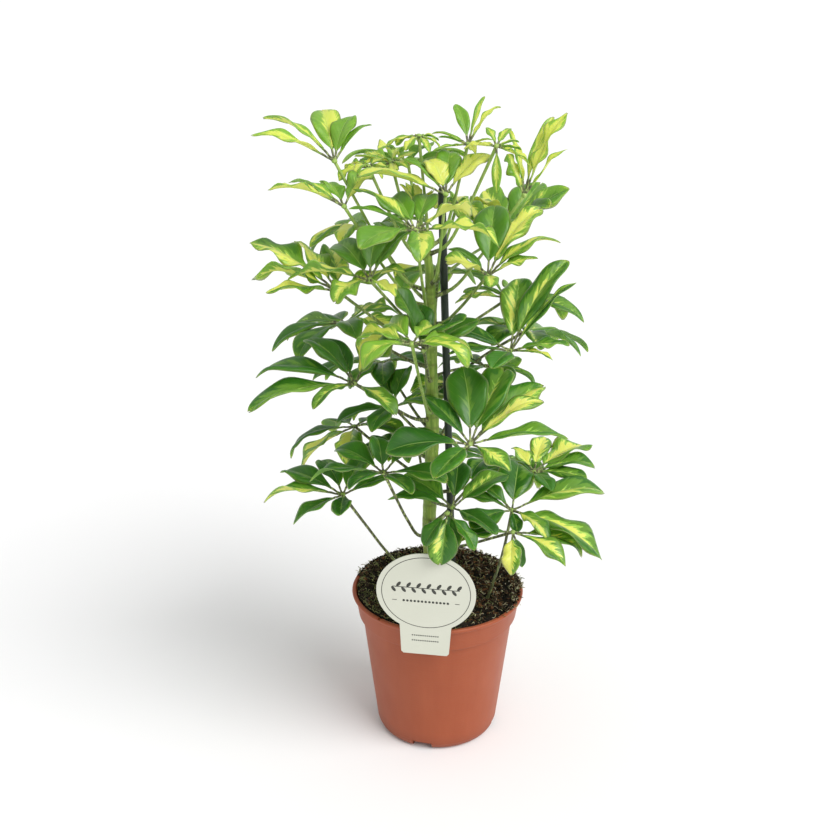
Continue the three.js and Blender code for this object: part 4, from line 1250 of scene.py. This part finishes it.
def add_round(bm, shape, corners, capped=True):
    return bmesh.ops.create_circle(bm, cap_ends=capped, segments=corners, radius=1.0, matrix=shape)


def add_ring(bm, wide, high, line):
    edges = set()
    for inset in (line, 0):
        shape = on_card(0, 0) @ sized(wide - inset, high - inset)
        for vert in add_round(bm, shape, 120, False)["verts"]:
            edges.update(vert.link_edges)
    bmesh.ops.bridge_loops(bm, edges=list(edges))


def add_dash(bm, x, z, wide, high):
    shape = on_card(x, z) @ sized(wide, high)
    bmesh.ops.create_grid(bm, x_segments=1, y_segments=1, size=0.5, matrix=shape)


def add_leaf_mark(bm, x, z, length, turn):
    middle = on_card(x, z, turn) @ Matrix.Translation((0, length * 0.5 * MM, 0))
    add_round(bm, middle @ sized(length * 0.24, length * 0.5), 16)


def add_dots(bm, z, reach, step, size):
    for index in range(round(2 * reach / step) + 1):
        add_round(bm, on_card(index * step - reach, z) @ sized(size, size), 10)


def build_print():
    bm = bmesh.new()
    add_ring(bm, *RING)
    add_dash(bm, 0, TWIG_HEIGHT, 44.0, 0.5)
    for index in range(TWIG_LEAVES):
        way = 1 if index % 2 else -1
        turn = -radians(90 - way * 52)
        add_leaf_mark(bm, index * LEAF_STEP - 22.5, TWIG_HEIGHT + way * 0.2, 4.3, turn)
    for x in DASHES_AT:
        add_dash(bm, x, DOT_ROW[0], 3.0, 0.4)
    for row in (DOT_ROW, *SMALL_DOT_ROWS):
        add_dots(bm, *row)
    skin = bmesh.ops.extrude_face_region(bm, geom=list(bm.faces))
    lifted = [thing for thing in skin["geom"] if isinstance(thing, bmesh.types.BMVert)]
    outward = Matrix.Rotation(CARD_AZIMUTH, 3, "Z") @ Vector((0, -INK, 0))
    bmesh.ops.translate(bm, verts=lifted, vec=outward)
    bmesh.ops.recalc_face_normals(bm, faces=bm.faces)
    return make_piece(bm, "label_print", [ink_material()], "label_card")


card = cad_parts["label"]
card.data.materials.clear()
card.data.materials.append(card_material())
print("print faces:", len(build_print().data.polygons))

# %% [markdown]
# ## Floor, light and camera
#
# The plant stands on a seamless white floor. One broad lamp high on the front right gives the soft
# shadow on the left, and a white sky fills the rest. The sky gives less light than it shows, so that
# in a level view it is as white as the floor. The camera looks down at the plant from the front, as
# the photograph does.

# %% Floor and light
FLOOR_REACH = 30.0
SKY_LIGHT = 0.63
SUN_FROM = Vector((0.66, -0.54, 0.85))
SUN_STRENGTH = 2.45
SUN_WIDTH = radians(45)


def floor_material():
    material, tree, shader = start_material("white floor")
    worn = grain(tree, object_place(tree), 2.0, 2.0)
    white = tint(tree, worn, linear(244, 244, 244), linear(247, 247, 247))
    fill(tree, shader, {"Base Color": white, "Roughness": 0.9, "Specular IOR Level": 0.1})
    return material


bm = bmesh.new()
bmesh.ops.create_grid(bm, x_segments=1, y_segments=1, size=FLOOR_REACH)
place_object(bm, "floor", [floor_material()])

world = bpy.data.worlds.new("white studio")
scene.world = world
world.use_nodes = True
sky = world.node_tree.nodes["Background"]
seen_directly = wire(world.node_tree, "LightPath").outputs["Is Camera Ray"]
strength = scaled(world.node_tree, seen_directly, 1 - SKY_LIGHT, SKY_LIGHT)
fill(world.node_tree, sky, {"Color": (1.0, 1.0, 1.0, 1.0), "Strength": strength})

sun = bpy.data.lights.new("broad lamp", "SUN")
sun.energy = SUN_STRENGTH
sun.angle = SUN_WIDTH
lamp = bpy.data.objects.new("broad lamp", sun)
lamp.rotation_euler = SUN_FROM.to_track_quat("Z", "Y").to_euler()
scene.collection.objects.link(lamp)
print("lamp height in degrees:", round(degrees(asin(SUN_FROM.normalized().z))))

# %% Camera
CAMERA_PLACE = Vector((-12.3, -708.0, 510.3)) * MM
CAMERA_PITCH = 21.4
FOCAL_PIXELS = 1146.0
IMAGE_PIXELS = 840.0

lens = bpy.data.cameras.new("camera")
lens.sensor_width = 36.0
lens.lens = FOCAL_PIXELS / IMAGE_PIXELS * lens.sensor_width
lens.clip_start = 0.01
camera = bpy.data.objects.new("camera", lens)
camera.location = CAMERA_PLACE
camera.rotation_euler = (radians(90 - CAMERA_PITCH), 0, 0)
scene.collection.objects.link(camera)
scene.camera = camera
scene.view_settings.view_transform = "Standard"
print("lens in mm:", round(lens.lens, 1))
